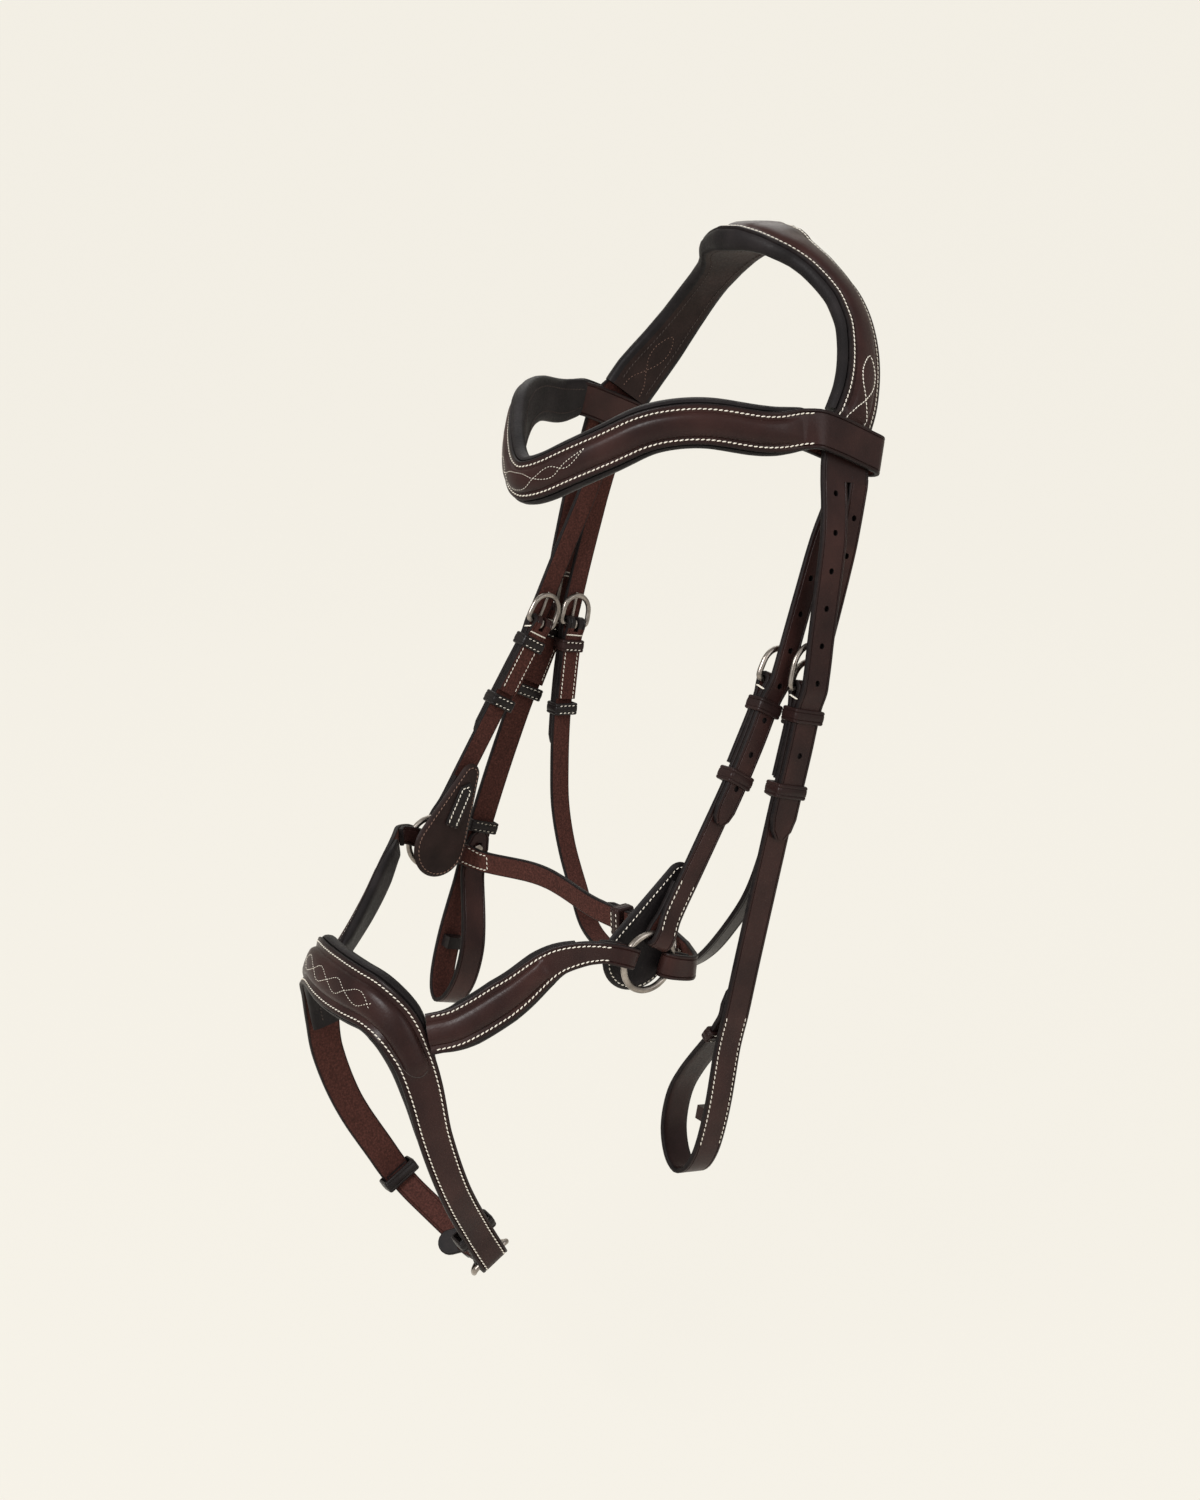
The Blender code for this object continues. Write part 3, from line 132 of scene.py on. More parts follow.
# Noseband hangers
HANGER_WIDTH = 12.4 * MM
HANGER_BARS = {
    1: Vector((98.2 * MM, -66.0 * MM, -200.0 * MM)),
    -1: Vector((-98.2 * MM, -73.0 * MM, -206.0 * MM)),
}
HANGER_TUCK = 2.0 * MM
HANGER_TUCK_SHARE = 0.65
HANGER_BOWS = {1: 2.6 * MM, -1: 0}
HANGER_BOW_SHARES = ((0.35, 1), (0.7, 0.5))
HANGER_LEAD_SHARE = 0.3
HANGER_BEYOND = 0.2

# Throatlatch
THROAT_WIDTH = 12.0 * MM
BILLETS_SPACE = 2.0 * MM
THROAT_BAR = Vector((98.0 * MM, -45.0 * MM, -209.0 * MM))
THROAT_DEPTH = 180.0 * MM
THROAT_SWEEP = 24.0 * MM
THROAT_X_SHARES = (1, 0.96, 0.88, 0.8, 0.63, 0.41, 0.1, -0.29, -0.61, -0.82, -0.96, -0.99, -1, -1)
THROAT_Y_SHARES = (0, 0.37, 0.65, 0.83, 1, 1, 1, 0.96, 0.79, 0.58, 0.65, 0.63, 0.5, 0.21)
THROAT_Z_SHARES = (0, 0.29, 0.535, 0.635, 0.775, 0.88, 0.955, 0.98, 0.955, 0.86, 0.656, 0.45, 0.25, 0)

# Rings and their pads
RING_RADIUS = 14.2 * MM
RING_WIRE = 1.65 * MM
RING_FOLD = RING_WIRE + GAP + STRAP_THICK / 2
RING_SLACK = 2.6 * MM
RING_CENTRE = Vector((105.2 * MM, -144.0 * MM, -325.5 * MM))
BRANCH_ANGLE = math.radians(154)
JAW_ANGLES = {1: math.radians(-20), -1: math.radians(-30)}
RING_RETURN = 26.0 * MM
RING_PAD_RADIUS = 18.0 * MM
RING_PAD_THICK = 4.0 * MM
RING_PAD_NECK = 13.0 * MM
RING_PAD_RISE = 44.0 * MM
RING_PAD_TILT = 0.12

# Noseband
NOSE_HALF_WIDTH = 57.0 * MM
NOSE_FRONT = 258.0 * MM
NOSE_TOP = 345.0 * MM
NOSE_DEPTH = 152.0 * MM
NOSE_BACK = 60.0 * MM
NOSE_BAND = 33.0 * MM
NOSE_X_SHARES = (0, 0.281, 0.544, 0.754, 0.877, 0.947, 1, 0.982, 0.886, 0.816)
NOSE_Y_SHARES = (0, 0.016, 0.075, 0.156, 0.237, 0.291, 0.355, 0.533, 0.783, 0.964)
NOSE_Z_SHARES = (0, 0.001, 0.013, 0.065, 0.166, 0.277, 0.445, 0.664, 0.864, 0.997)
NOSE_WIDTH_SHARES = (0.84, 0.82, 0.78, 0.72, 0.62, 0.6, 0.54, 0.5, 0.5, 0.5)
NOSE_PAD_SHARES = (1, 0.98, 0.94, 0.88, 0.8, 0.78, 0.66)
NOSE_FACE = Vector((0, -0.926, 0.378))
CHIN_WIDTH = 13.5 * MM
CHIN_DROP = 21.0 * MM
CHIN_TURN = (0.45, 0.8)
CHIN_LOW = 1.15
CHIN_FACING = 0.6
ARM_AHEAD = Vector((0, 0.84, 0.54))
CHIN_TAIL = 40.0 * MM

# Front branches
BRANCH_PROUD = 1.5 * MM
BRANCH_PAD_THICK = 3.0 * MM
BRANCH_STEPS = 20
BRANCH_FLAT_STEPS = 6
BRANCH_PAD_STEPS = 17
BRANCH_WIDENED = 0.6
BRANCH_PAD_END = 0.6
BRANCH_WIDTH = 10.5 * MM
BRANCH_WIDE = 20.0 * MM
BRANCH_INWARD = 46.0 * MM
BRANCH_FORWARD = 70.0 * MM
BRANCH_FALL = 37.0 * MM
BRANCH_SLACK = 1.8 * MM
BRANCH_RETURN = 14.0 * MM
BRANCH_FACING = (0.95, 0.55)
BRANCH_X_SHARES = (0.07, 0.27, 0.5, 0.71, 0.98, 1.152)
BRANCH_Y_SHARES = (0.12, 0.225, 0.39, 0.63, 0.945, 1.121)
BRANCH_Z_SHARES = (-0.08, -0.03, 0.14, 0.57, 0.99, 1.09)

# Jaw strap
JAW_WIDTH = 12.5 * MM
JAW_BACK = 26.0 * MM
JAW_TURN = 8.0 * MM
JAW_STRAIGHT_SHARE = 0.45
JAW_TURN_SHARE = 0.68
JAW_SAG = 16.0 * MM
JAW_BUCKLE_AT = 56.0 * MM
JAW_TAIL = 60.0 * MM

LEATHER, PADDING, NICKEL = "leather", "padding", "nickel"
SPAN_STEPS = 8
FOLD_STEPS = 6
ARCH_STEPS = 8
HOLE_SIDES = 6
ROUND_STEPS = 20
TIP_RUN_SHARES = (0.65, 0.25, 0)
TIP_WIDTH_SHARES = (1, 0.8, 0.4)


# Lines that the straps follow
def slopes_of(places, gaps):
    """The slope of a smooth line at each of its places, these gaps apart."""
    middle = [(c - a) / (p + q) for a, c, p, q in zip(places, places[2:], gaps, gaps[1:])]
    return [(places[1] - places[0]) / gaps[0]] + middle + [(places[-1] - places[-2]) / gaps[-1]]


def between(a, b, slope_a, slope_b, gap, t):
    """A place on the smooth line from a to b, this share of the way."""
    return (
        a * (2 * t**3 - 3 * t**2 + 1) + slope_a * (gap * (t**3 - 2 * t**2 + t))
        + b * (3 * t**2 - 2 * t**3) + slope_b * (gap * (t**3 - t**2))
    )


def span_of(marks, mark):
    """Which span between two marks this one lies in."""
    i = 0
    while i < len(marks) - 2 and marks[i + 1] < mark:
        i += 1
    return i


def sizes_at(marks, known, shares, size):
    """A size at each mark, read between the shares at the known ones."""
    sizes = []
    for mark in marks:
        i = span_of(known, abs(mark))
        share = min((abs(mark) - known[i]) / (known[i + 1] - known[i]), 1)
        sizes.append(size * (shares[i] + (shares[i + 1] - shares[i]) * share))
    return sizes


def smooth_line(places, steps):
    """Places on a smooth line through the given ones, with this many steps a span."""
    gaps = [(b - a).length for a, b in zip(places, places[1:])]
    slopes = slopes_of(places, gaps)
    line = []
    for i, gap in enumerate(gaps):
        span = (places[i], places[i + 1], slopes[i], slopes[i + 1], gap)
        line += [between(*span, step / steps) for step in range(steps)]
    return line + [places[-1]]


def mirrored(places):
    """Near places reversed onto the far side, without the middle one."""
    return [Vector((-p.x, p.y, p.z)) for p in reversed(places[:-1])]


class Route:
    """A smooth line, measured along s, with o outward and w across the strap."""

    def __init__(self, places, outs, zero=0):
        self.line = smooth_line(places, SPAN_STEPS)
        self.outs = []
        for a, b in zip(outs, outs[1:]):
            self.outs += [a.lerp(b, step / SPAN_STEPS) for step in range(SPAN_STEPS)]
        self.outs.append(outs[-1])
        marks = [0]
        for a, b in zip(self.line, self.line[1:]):
            marks.append(marks[-1] + (b - a).length)
        self.marks = [mark - marks[zero * SPAN_STEPS] for mark in marks]

    def mark(self, index):
        """How far along one of the given places lies."""
        return self.marks[index * SPAN_STEPS]

    def frame(self, s):
        """The place at s, and its directions along, outward and across."""
        i = span_of(self.marks, s)
        share = (s - self.marks[i]) / (self.marks[i + 1] - self.marks[i])
        place = self.line[i] + (self.line[i + 1] - self.line[i]) * share
        inside = min(max(share, 0), 1)
        before = (self.line[i + 1] - self.line[max(i - 1, 0)]).normalized()
        after = (self.line[min(i + 2, len(self.line) - 1)] - self.line[i]).normalized()
        along = before.lerp(after, inside).normalized()
        out = self.outs[i].lerp(self.outs[i + 1], inside)
        out = (out - along * out.dot(along)).normalized()
        return place, along, out, along.cross(out)

    def at(self, s, o=0, w=0):
        place, _, out, across = self.frame(s)
        return place + out * o + across * w


class Buckled:
    """A route measured from a buckle's bar: a along its strap, o towards its billet."""

    def __init__(self, route, bar, width, heading=1, face=1):
        self.route, self.bar, self.heading, self.face = route, bar, heading, face
        self.reach = width * FRAME_REACH_SHARE

    def frame(self, a):
        place, along, out, across = self.route.frame(self.bar + self.heading * a)
        turn = self.heading * self.face
        return place, along * self.heading, out * self.face, across * turn

    def at(self, a, o=0, w=0):
        place, _, out, across = self.frame(a)
        return place + out * o + across * w


# Looks
def srgb(code):
    """A hex colour as the linear values that Blender mixes."""
    values = [int(code[i:i + 2], 16) / 255 for i in (1, 3, 5)]
    return [v / 12.92 if v <= 0.04045 else ((v + 0.055) / 1.055) ** 2.4 for v in values] + [1]


def add_node(tree, kind, settings=None, **inputs):
    """Add a node with its settings, and its sockets' values or links; i0 names socket 0."""
    made = tree.nodes.new("ShaderNode" + kind)
    for key, value in (settings or {}).items():
        if key == "stops":
            elements = made.color_ramp.elements
            for element, (at, code) in zip(elements, (value[0], value[-1])):
                element.position, element.color = at, srgb(code)
            for at, code in value[1:-1]:
                elements.new(at).color = srgb(code)
        else:
            setattr(made, key, value)
    for key, value in inputs.items():
        socket = made.inputs[int(key[1:])] if key[1:].isdigit() else made.inputs[key]
        if isinstance(value, bpy.types.NodeSocket):
            tree.links.new(value, socket)
        else:
            socket.default_value = value
    return made


class Look:
    """A finish: clouds of colour, a darker rim, a broken gloss and a relief.

    A pattern is its kind, the real size of one of its cells, its detail and its stretch.
    """

    def __init__(
        self, name, clouds, stops, rough, specular=0.5, metallic=0.0, rim=None, gloss=None, relief=(),
    ):
        self.made = bpy.data.materials.new(name)
        self.made.use_nodes = True
        self.tree = self.made.node_tree
        self.shader = self.tree.nodes["Principled BSDF"]
        sockets = self.shader.inputs
        sockets["Roughness"].default_value = rough
        sockets["Metallic"].default_value = metallic
        sockets["Specular IOR Level"].default_value = specular
        self.place = self.add("TexCoord").outputs["Object"]
        colour = self.add("ValToRGB", {"stops": stops}, Fac=self.pattern(*clouds)).outputs["Color"]
        if rim:
            dark, start, end = rim
            edge = self.add("Attribute", {"attribute_name": "rim"}).outputs["Fac"]
            share = self.add("MapRange", i0=edge, i1=start, i2=end, i3=0.0, i4=1.0).outputs[0]
            mixed = self.add("Mix", {"data_type": "RGBA"}, i0=share, i6=colour, i7=srgb(dark))
            colour = mixed.outputs[2]
        self.tree.links.new(colour, sockets["Base Color"])
        if gloss:
            grain, low, high = gloss
            value = self.add("MapRange", i0=self.pattern(*grain), i1=0.3, i2=0.7, i3=low, i4=high)
            self.tree.links.new(value.outputs[0], sockets["Roughness"])
        normal = None
        for grain, depth, strength in relief:
            made = self.add("Bump", Height=self.pattern(*grain), Distance=depth, Strength=strength)
            if normal:
                self.tree.links.new(normal, made.inputs["Normal"])
            normal = made.outputs[0]
        if normal:
            self.tree.links.new(normal, sockets["Normal"])

    def add(self, kind, settings=None, **inputs):
        return add_node(self.tree, kind, settings, **inputs)

    def pattern(self, kind, size, detail=2.0, stretch=None):
        """A pattern on object coordinates, whose cells have this real size."""
        place = self.place
        if stretch:
            place = self.add("Mapping", Vector=place, Scale=stretch).outputs[0]
        if kind == "cells":
            made = self.add("TexVoronoi", {"feature": "SMOOTH_F1"}, Vector=place, Scale=1 / size)
            return made.outputs["Distance"]
        return self.add("TexNoise", Vector=place, Scale=1 / size, Detail=detail).outputs["Fac"]


LEATHER_STOPS = (0.3, 0.5, 0.72)


# Drum-dyed bridle leather, grain side: a dark brown with soft clouds, a fine pebbled
# grain that breaks the gloss, and burnished darker edges
def grain_leather(name, codes, dark):
    pores, fine, soft = ("cells", 0.909 * MM), ("noise", 1.111 * MM), ("noise", 7.143 * MM)
    return Look(
        name, ("noise", 26.316 * MM, 3.0), tuple(zip(LEATHER_STOPS, codes)), 0.4, specular=0.18,
        rim=(dark, 0.72, 1.0), gloss=(fine, 0.3, 0.42),
        relief=((pores, 0.12 * MM, 0.35), (fine, 0.1 * MM, 0.25), (soft, 0.4 * MM, 0.12)),
    ).made


# Soft glove leather over foam: a matt near-black with a dull grain and shallow wrinkles
def pad_leather(name, codes):
    pores, fine = ("cells", 1.111 * MM), ("noise", 1.25 * MM, 3.0)
    creased = ("noise", 10.526 * MM, 4.0, (1.0, 1.0, 2.2))
    return Look(
        name, ("noise", 16.667 * MM, 3.0), tuple(zip(LEATHER_STOPS, codes)), 0.5, specular=0.12,
        gloss=(fine, 0.42, 0.58),
        relief=((creased, 0.7 * MM, 0.2), (pores, 0.16 * MM, 0.4), (fine, 0.1 * MM, 0.2)),
    ).made


# Twisted linen sewing thread: chalky, with slanting strands drawn coarser than they are
def linen_thread(name, stops):
    strands = ("noise", 0.1923 * MM, 1.0, (1.0, 1.0, 0.4))
    clouds = ("noise", 0.667 * MM)
    return Look(name, clouds, stops, 0.7, specular=0.3, relief=((strands, 0.1 * MM, 0.6),)).made


GRAIN = grain_leather("grain_leather", ("#251615", "#301d1b", "#3c2522"), "#1b1212")
# A darker grain for the near keepers, which also stands as painted shade on the back of the near cheek
# strap
DEEP = grain_leather("deep_leather", ("#1e1312", "#271817", "#32201e"), "#171010")
BLACK = grain_leather("black_leather", ("#181414", "#201b1b", "#2a2423"), "#141111")
PAD = pad_leather("pad_leather", ("#181617", "#1f1c1d", "#282425"))
LINING = pad_leather("brown_lining", ("#211817", "#2a1f1d", "#332624"))
CREAM = linen_thread("cream_thread", ((0.3, "#e2dac9"), (0.7, "#fbf6ec")))
DARK = linen_thread("dark_thread", ((0.3, "#2c2422"), (0.7, "#4a3f3b")))
TAN = linen_thread("tan_thread", ((0.3, "#6f5348"), (0.7, "#94776a")))
# Flesh side of the same hide: a dry reddish nap without gloss, dark along the painted edge
FIBRE = ("noise", 1.111 * MM, 4.0)
FLESH = Look(
    "flesh_side", FIBRE, ((0.3, "#38221e"), (0.5, "#472a25"), (0.72, "#593630")), 0.85, specular=0.1,
    rim=("#1d1413", 0.84, 0.98), relief=((FIBRE, 0.3 * MM, 0.5),),
).made
# Brushed edge paint on cut leather: a dull black skin, slightly wavy
EDGE = Look(
    "edge_paint", ("noise", 3.333 * MM), ((0.3, "#151213"), (0.7, "#221c1c")), 0.5, specular=0.12,
    relief=((("noise", 1.429 * MM), 0.15 * MM, 0.3),),
).made
# Satin nickel on cast buckles and rings: warm grey metal, worn unevenly by hand
METAL = Look(
    "satin_nickel", ("noise", 6.25 * MM, 4.0), ((0.25, "#7b746e"), (0.55, "#9d958e"), (0.8, "#b9b1a9")),
    0.3, metallic=1.0, gloss=(("noise", 2.381 * MM, 3.0), 0.24, 0.4),
    relief=((("noise", 1.667 * MM, 3.0), 0.06 * MM, 0.3),),
).made
FACE, RIM, BACK = 0, 1, 2


def look_of(name, look):
    """The materials of a piece: its face, its edge and its back."""
    if look is NICKEL:
        return (METAL,)
    if look is PADDING:
        return (PAD, LINING if name.startswith("headpiece") else PAD)
    if "keeper" in name:
        return (BLACK if name.startswith("far") or "chin" in name else DEEP,)
    if name == "throatlatch_strap":
        return (BLACK, EDGE, FLESH)
    # The near cheek strap's back, inside its bit loop, gets the darker grain in place of the reddish
    # flesh: painted shade
    if name == "near_cheek_strap":
        return (GRAIN, EDGE, DEEP)
    return (GRAIN, EDGE, FLESH)


# Sections: the right half from the middle underneath to the middle on top, as places
# across and up, with the look of the face that starts at each
EASE = 0.6 * MM
CREASE_IN = 1.7 * MM
CREASE_HALF = 0.374 * MM
CREASE_DEPTH = 0.5 * MM
RAISE_MARGIN = 5.4 * MM
RAISE_MARGIN_SHARE = 0.4
RAISE_FOOT_SHARE = 0.9
RAISE_SHARES = ((0.93, 0.3), (0.82, 0.72), (0.66, 1), (0.33, 1.16), (0, 1.2))
ROLL = 3.0 * MM
ROLL_RISE = 1.7 * MM
# In from the edge as a share of the roll, and up as shares of the pad and of the rise
ROLL_SHARES = (
    (1.7, -1, 0, RIM), (1.1, -0.97, 0, FACE), (0.5, -0.78, 0, FACE), (0.14, -0.42, 0, FACE),
    (0, 0, 0, FACE), (0.06, 0.5, 0.35, FACE), (0.28, 0.85, 0.75, FACE), (0.6, 1, 1, FACE),
    (0.92, 1, 0.7, FACE), (1.2, 1, 0.1, FACE),
)
FINE_STEP = 2.6 * MM
LEAST = MM / 1000


def strap_half(width, thick, share):
    """A strap with eased edges, and a creased line or a raised middle."""
    half, t = width / 2, thick / 2
    ease = EASE if thick > 2 * EASE else thick / 3
    corner = ease * 0.3
    rise = CENTRE_RAISE * share
    foot = half - min(RAISE_MARGIN_SHARE * half, RAISE_MARGIN)
    line = half - CREASE_IN
    return [
        (0, -t, BACK), (half / 2, -t, BACK), (half - ease, -t, RIM), (half - corner, corner - t, RIM),
        (half, ease - t, RIM), (half, t - ease, RIM), (half - corner, t - corner, FACE),
        (half - ease, t, FACE), (line + CREASE_HALF, t, FACE),
        (line, t - CREASE_DEPTH * (1 - share), FACE), (line - CREASE_HALF, t, FACE),
        (min(foot, line * RAISE_FOOT_SHARE), t - rise * 0.1, FACE),
    ] + [(foot * across, t + rise * up, FACE) for across, up in RAISE_SHARES]


def pad_half(width, thick, share):
    """A soft pad whose rolled edge swells up beside the leather that it carries."""
    half, t = width / 2, thick / 2
    edge = [(half - ROLL * w, t * h + ROLL_RISE * share * up, look) for w, h, up, look in ROLL_SHARES]
    return [(0, -t, RIM), (half / 2, -t, RIM)] + edge + [(half * 0.45, t, FACE), (0, t, FACE)]


def flat_section(thick=STRAP_THICK):
    return (strap_half, thick, 0.0)


def raised_section(share=1):
    return (strap_half, STRAP_THICK, float(share))


def padded_section(thick):
    return (pad_half, thick, 1.0)


Station = namedtuple("Station", "place across s height width thick share out along")


class Form:
    """A strap's mesh and the stations that it was drawn through."""

    def __init__(self, route, track, width, section):
        widths = width if isinstance(width, list) else [width] * len(track)
        sections = section if isinstance(section, list) else [section] * len(track)
        self.half_of = sections[0][0]
        self.chape, self.both_ends, self.all_turned = 0, False, False
        centres = [route.at(s, o) for s, o in track]
        acrosses = [route.frame(s)[3] for s, _ in track]
        gaps = [max((b - a).length, MM / 100) for a, b in zip(centres, centres[1:])]
        slopes = slopes_of(centres, gaps)
        sizes = [(s, o, w, *part[1:]) for (s, o), w, part in zip(track, widths, sections)]
        drawn = []
        for i, gap in enumerate(gaps):
            count = max(1, math.ceil(gap / FINE_STEP))
            for step in range(count + (i == len(gaps) - 1)):
                t = step / count
                place = between(centres[i], centres[i + 1], slopes[i], slopes[i + 1], gap, t)
                mix = [a + (b - a) * t for a, b in zip(sizes[i], sizes[i + 1])]
                drawn.append((place, acrosses[i].lerp(acrosses[i + 1], t), mix))
        self.stations = []
        for i, (place, across, mix) in enumerate(drawn):
            along = (drawn[min(i + 1, len(drawn) - 1)][0] - drawn[max(i - 1, 0)][0]).normalized()
            across = (across - along * across.dot(along)).normalized()
            self.stations.append(Station(place, across, *mix, across.cross(along).normalized(), along))
        self.walk = [0.0]
        for a, b in zip(self.stations, self.stations[1:]):
            self.walk.append(self.walk[-1] + (b.place - a.place).length)

    def turned(self, n):
        """Whether the flesh side lies outside here: on a folded end, or all along."""
        if self.all_turned:
            return True
        ends = (self.walk[n], self.walk[-1] - self.walk[n] if self.both_ends else self.walk[-1])
        return self.chape and self.stations[n].height < 0 and min(ends) < self.chape

    def half(self, station):
        return self.half_of(station.width, station.thick, station.share)

    def surface(self, station, w, under=False):
        """The place on the form's own face at w, on top or underneath."""
        half = self.half(station)
        turn = max(range(len(half)), key=lambda i: half[i][0])
        points = half[: turn + 1] if under else half[turn:][::-1]
        height = points[-1][1]
        for (w0, h0, _), (w1, h1, _) in zip(points, points[1:]):
            if w0 <= abs(w) <= w1:
                height = h0 + (h1 - h0) * (abs(w) - w0) / max(w1 - w0, LEAST)
                break
        return station.place + station.across * w + station.out * height

    def near(self, walk):
        """The station at this distance walked along the form, read between two."""
        walk = min(max(walk, 0), self.walk[-1])
        i = span_of(self.walk, walk)
        t = (walk - self.walk[i]) / max(self.walk[i + 1] - self.walk[i], LEAST)
        pairs = zip(self.stations[i], self.stations[i + 1])
        return Station(*[a.lerp(b, t) if isinstance(a, Vector) else a + (b - a) * t for a, b in pairs])

    def walk_of(self, s):
        """The distance walked where the track's own s is reached on the outer layer."""
        metre = 1
        best = min(
            range(len(self.stations)),
            key=lambda i: abs(self.stations[i].s - s) + (0 if self.stations[i].height > 0 else metre),
        )
        return self.walk[best]

    def mesh(self):
        """One closed body through all the stations, with the rim value of each point."""
        bm = bmesh.new()
        rim = bm.verts.layers.float.new("rim")
        outlines = []
        for station in self.stations:
            half = self.half(station)
            outline = [(w, h) for w, h, _ in half] + [(-w, h) for w, h, _ in reversed(half[1:-1])]
            outlines.append([station.place + station.across * w + station.out * h for w, h in outline])
        looks = [look for _, _, look in half[:-1]]
        looks += looks[::-1]
        rings, ends = sweep(bm, outlines)
        for station, ring in zip(self.stations, rings):
            for vert in ring:
                vert[rim] = abs((vert.co - station.place).dot(station.across)) * 2 / station.width
        for n, (a, b) in enumerate(zip(rings, rings[1:])):
            turned = self.turned(n)
            for i, face in enumerate(walls(bm, a, b)):
                face.material_index = BACK - looks[i] if turned else looks[i]
        for face in ends:
            face.material_index = FACE if self.half_of is pad_half else RIM
        return bm


def sweep(bm, outlines):
    """Extrude the first outline through the others; its rings and the two end faces."""
    ring = [bm.verts.new(place) for place in outlines[0]]
    edges = [bm.edges.new(pair) for pair in zip(ring, ring[1:] + ring[:1])]
    first, rings = edges, [ring]
    for outline in outlines[1:]:
        made = bmesh.ops.extrude_edge_only(bm, edges=edges)["geom"]
        fresh = {item for item in made if isinstance(item, bmesh.types.BMVert)}
        ring = [next(e.other_vert(v) for e in v.link_edges if e.other_vert(v) in fresh) for v in ring]
        for vert, place in zip(ring, outline):
            vert.co = place
        edges = [bm.edges.get(pair) for pair in zip(ring, ring[1:] + ring[:1])]
        rings.append(ring)
    ends = [bmesh.ops.edgeloop_fill(bm, edges=end)["faces"][0] for end in (first, edges)]
    return rings, ends


def walls(bm, a, b):
    """The faces between two rings, in the order of their points."""
    return [bm.faces.get(corners) for corners in zip(a, a[1:] + a[:1], b[1:] + b[:1], b)]


def solid(outlines):
    """A closed body through these outlines."""
    bm = bmesh.new()
    sweep(bm, outlines)
    return bm


# Pieces
FORMS = {}
THREADS = {}
BANDS = []
KEEPER_FRAMES = {}
PIECES = {}
CUTS = {}
EXTRAS = []
WIRE_STEPS = 4
BEVEL_ANGLE = math.radians(40)
FOLDED_STRAPS = ("far_cheek_strap", "far_hanger_strap", "throatlatch_strap", "jaw_strap")


def finish_mesh(name, bm, looks, bevel=0.0):
    """Make the piece itself, with its looks and, where asked, eased edges."""
    bmesh.ops.recalc_face_normals(bm, faces=bm.faces)
    mesh = bpy.data.meshes.new(name)
    bm.to_mesh(mesh)
    bm.free()
    for look in looks:
        mesh.materials.append(look)
    made = bpy.data.objects.new(name, mesh)
    bpy.context.collection.objects.link(made)
    if bevel:
        step = made.modifiers.new("ease", "BEVEL")
        step.width, step.segments, step.limit_method = bevel, 2, "ANGLE"
        step.angle_limit = BEVEL_ANGLE
    return made


def add_mesh(name, form, look):
    """A visual piece that stands for the solid of this name."""
    bevel = 0.0
    if isinstance(form, Form):
        FORMS[name] = form
        if name in FOLDED_STRAPS:
            form.chape = CHAPE_END
        form.both_ends = name == "throatlatch_strap"
        form.all_turned = name == "chin_strap"
        form = form.mesh()
    elif "keeper" in name and BANDS:
        KEEPER_FRAMES[name] = BANDS[-1]
    else:
        bevel = KEEPER_WALL / 4
    made = finish_mesh(name + "_look", form, look_of(name, look), bevel)
    if name in NODE_BODY:
        PIECES[name] = made
    return made


def add_tube(name, places, radius, closed=False):
    """A round wire along places, closed into a loop or capped at both ends."""
    line = smooth_line(places + places[:1] if closed else places, WIRE_STEPS)
    if closed:
        line = line[:-1]
    curve = bpy.data.curves.new(name, "CURVE")
    curve.dimensions, curve.bevel_depth, curve.bevel_resolution = "3D", radius, 3
    curve.use_fill_caps = True
    spline = curve.splines.new("POLY")
    spline.points.add(len(line) - 1)
    for point, place in zip(spline.points, line):
        point.co = (*place, 1)
    spline.use_cyclic_u = closed
    holder = bpy.data.objects.new(name + "_line", curve)
    bpy.context.collection.objects.link(holder)
    bpy.context.view_layer.update()
    mesh = bpy.data.meshes.new_from_object(holder.evaluated_get(bpy.context.evaluated_depsgraph_get()))
    bpy.data.objects.remove(holder, do_unlink=True)
    bm = bmesh.new()
    bm.from_mesh(mesh)
    bmesh.ops.remove_doubles(bm, verts=bm.verts, dist=MM / 100)
    PIECES[name] = finish_mesh(name + "_look", bm, (METAL,))


def note_cut(target, tool):
    CUTS.setdefault(target.name, []).append(tool)


def cut_all():
    """Cut every noted shape from its piece, and drop the cutters."""
    for name, tools in CUTS.items():
        target = bpy.data.objects[name]
        for tool in tools:
            step = target.modifiers.new("cut", "BOOLEAN")
            step.operation, step.solver, step.object = "DIFFERENCE", "EXACT", tool
        bpy.context.view_layer.update()
        depsgraph = bpy.context.evaluated_depsgraph_get()
        mesh = bpy.data.meshes.new_from_object(target.evaluated_get(depsgraph))
        target.modifiers.clear()
        target.data = mesh
        for tool in tools:
            bpy.data.objects.remove(tool, do_unlink=True)


# Sewing
STITCH_PITCH = 2.5 * MM
STITCH_LENGTH = 2.2 * MM
STITCH_WIDTH = 0.66 * MM
STITCH_RISE = 0.34 * MM
STITCH_SLANT = math.radians(11)
STITCH_SIDES = 6
STITCH_SINK_SHARE = 0.15
STITCH_SHARES = ((-0.86, 0.55), (-0.35, 1.0), (0.35, 1.0), (0.86, 0.55))


def sew(body, line, look=CREAM, pitch=STITCH_PITCH, size=1.0):
    """Stitches along places on a surface, given as (place, outward) pairs."""
    walked = [0.0]
    for (a, _), (b, _) in zip(line, line[1:]):
        walked.append(walked[-1] + (b - a).length)
    count = int(walked[-1] / pitch)
    for step in range(count):
        at = (step + 0.5) * walked[-1] / count
        i = span_of(walked, at)
        t = (at - walked[i]) / max(walked[i + 1] - walked[i], LEAST)
        place = line[i][0].lerp(line[i + 1][0], t)
        out = line[i][1].lerp(line[i + 1][1], t).normalized()
        along = (line[i + 1][0] - line[i][0]).normalized()
        THREADS.setdefault((body, look.name), []).append((place, along, out, size))


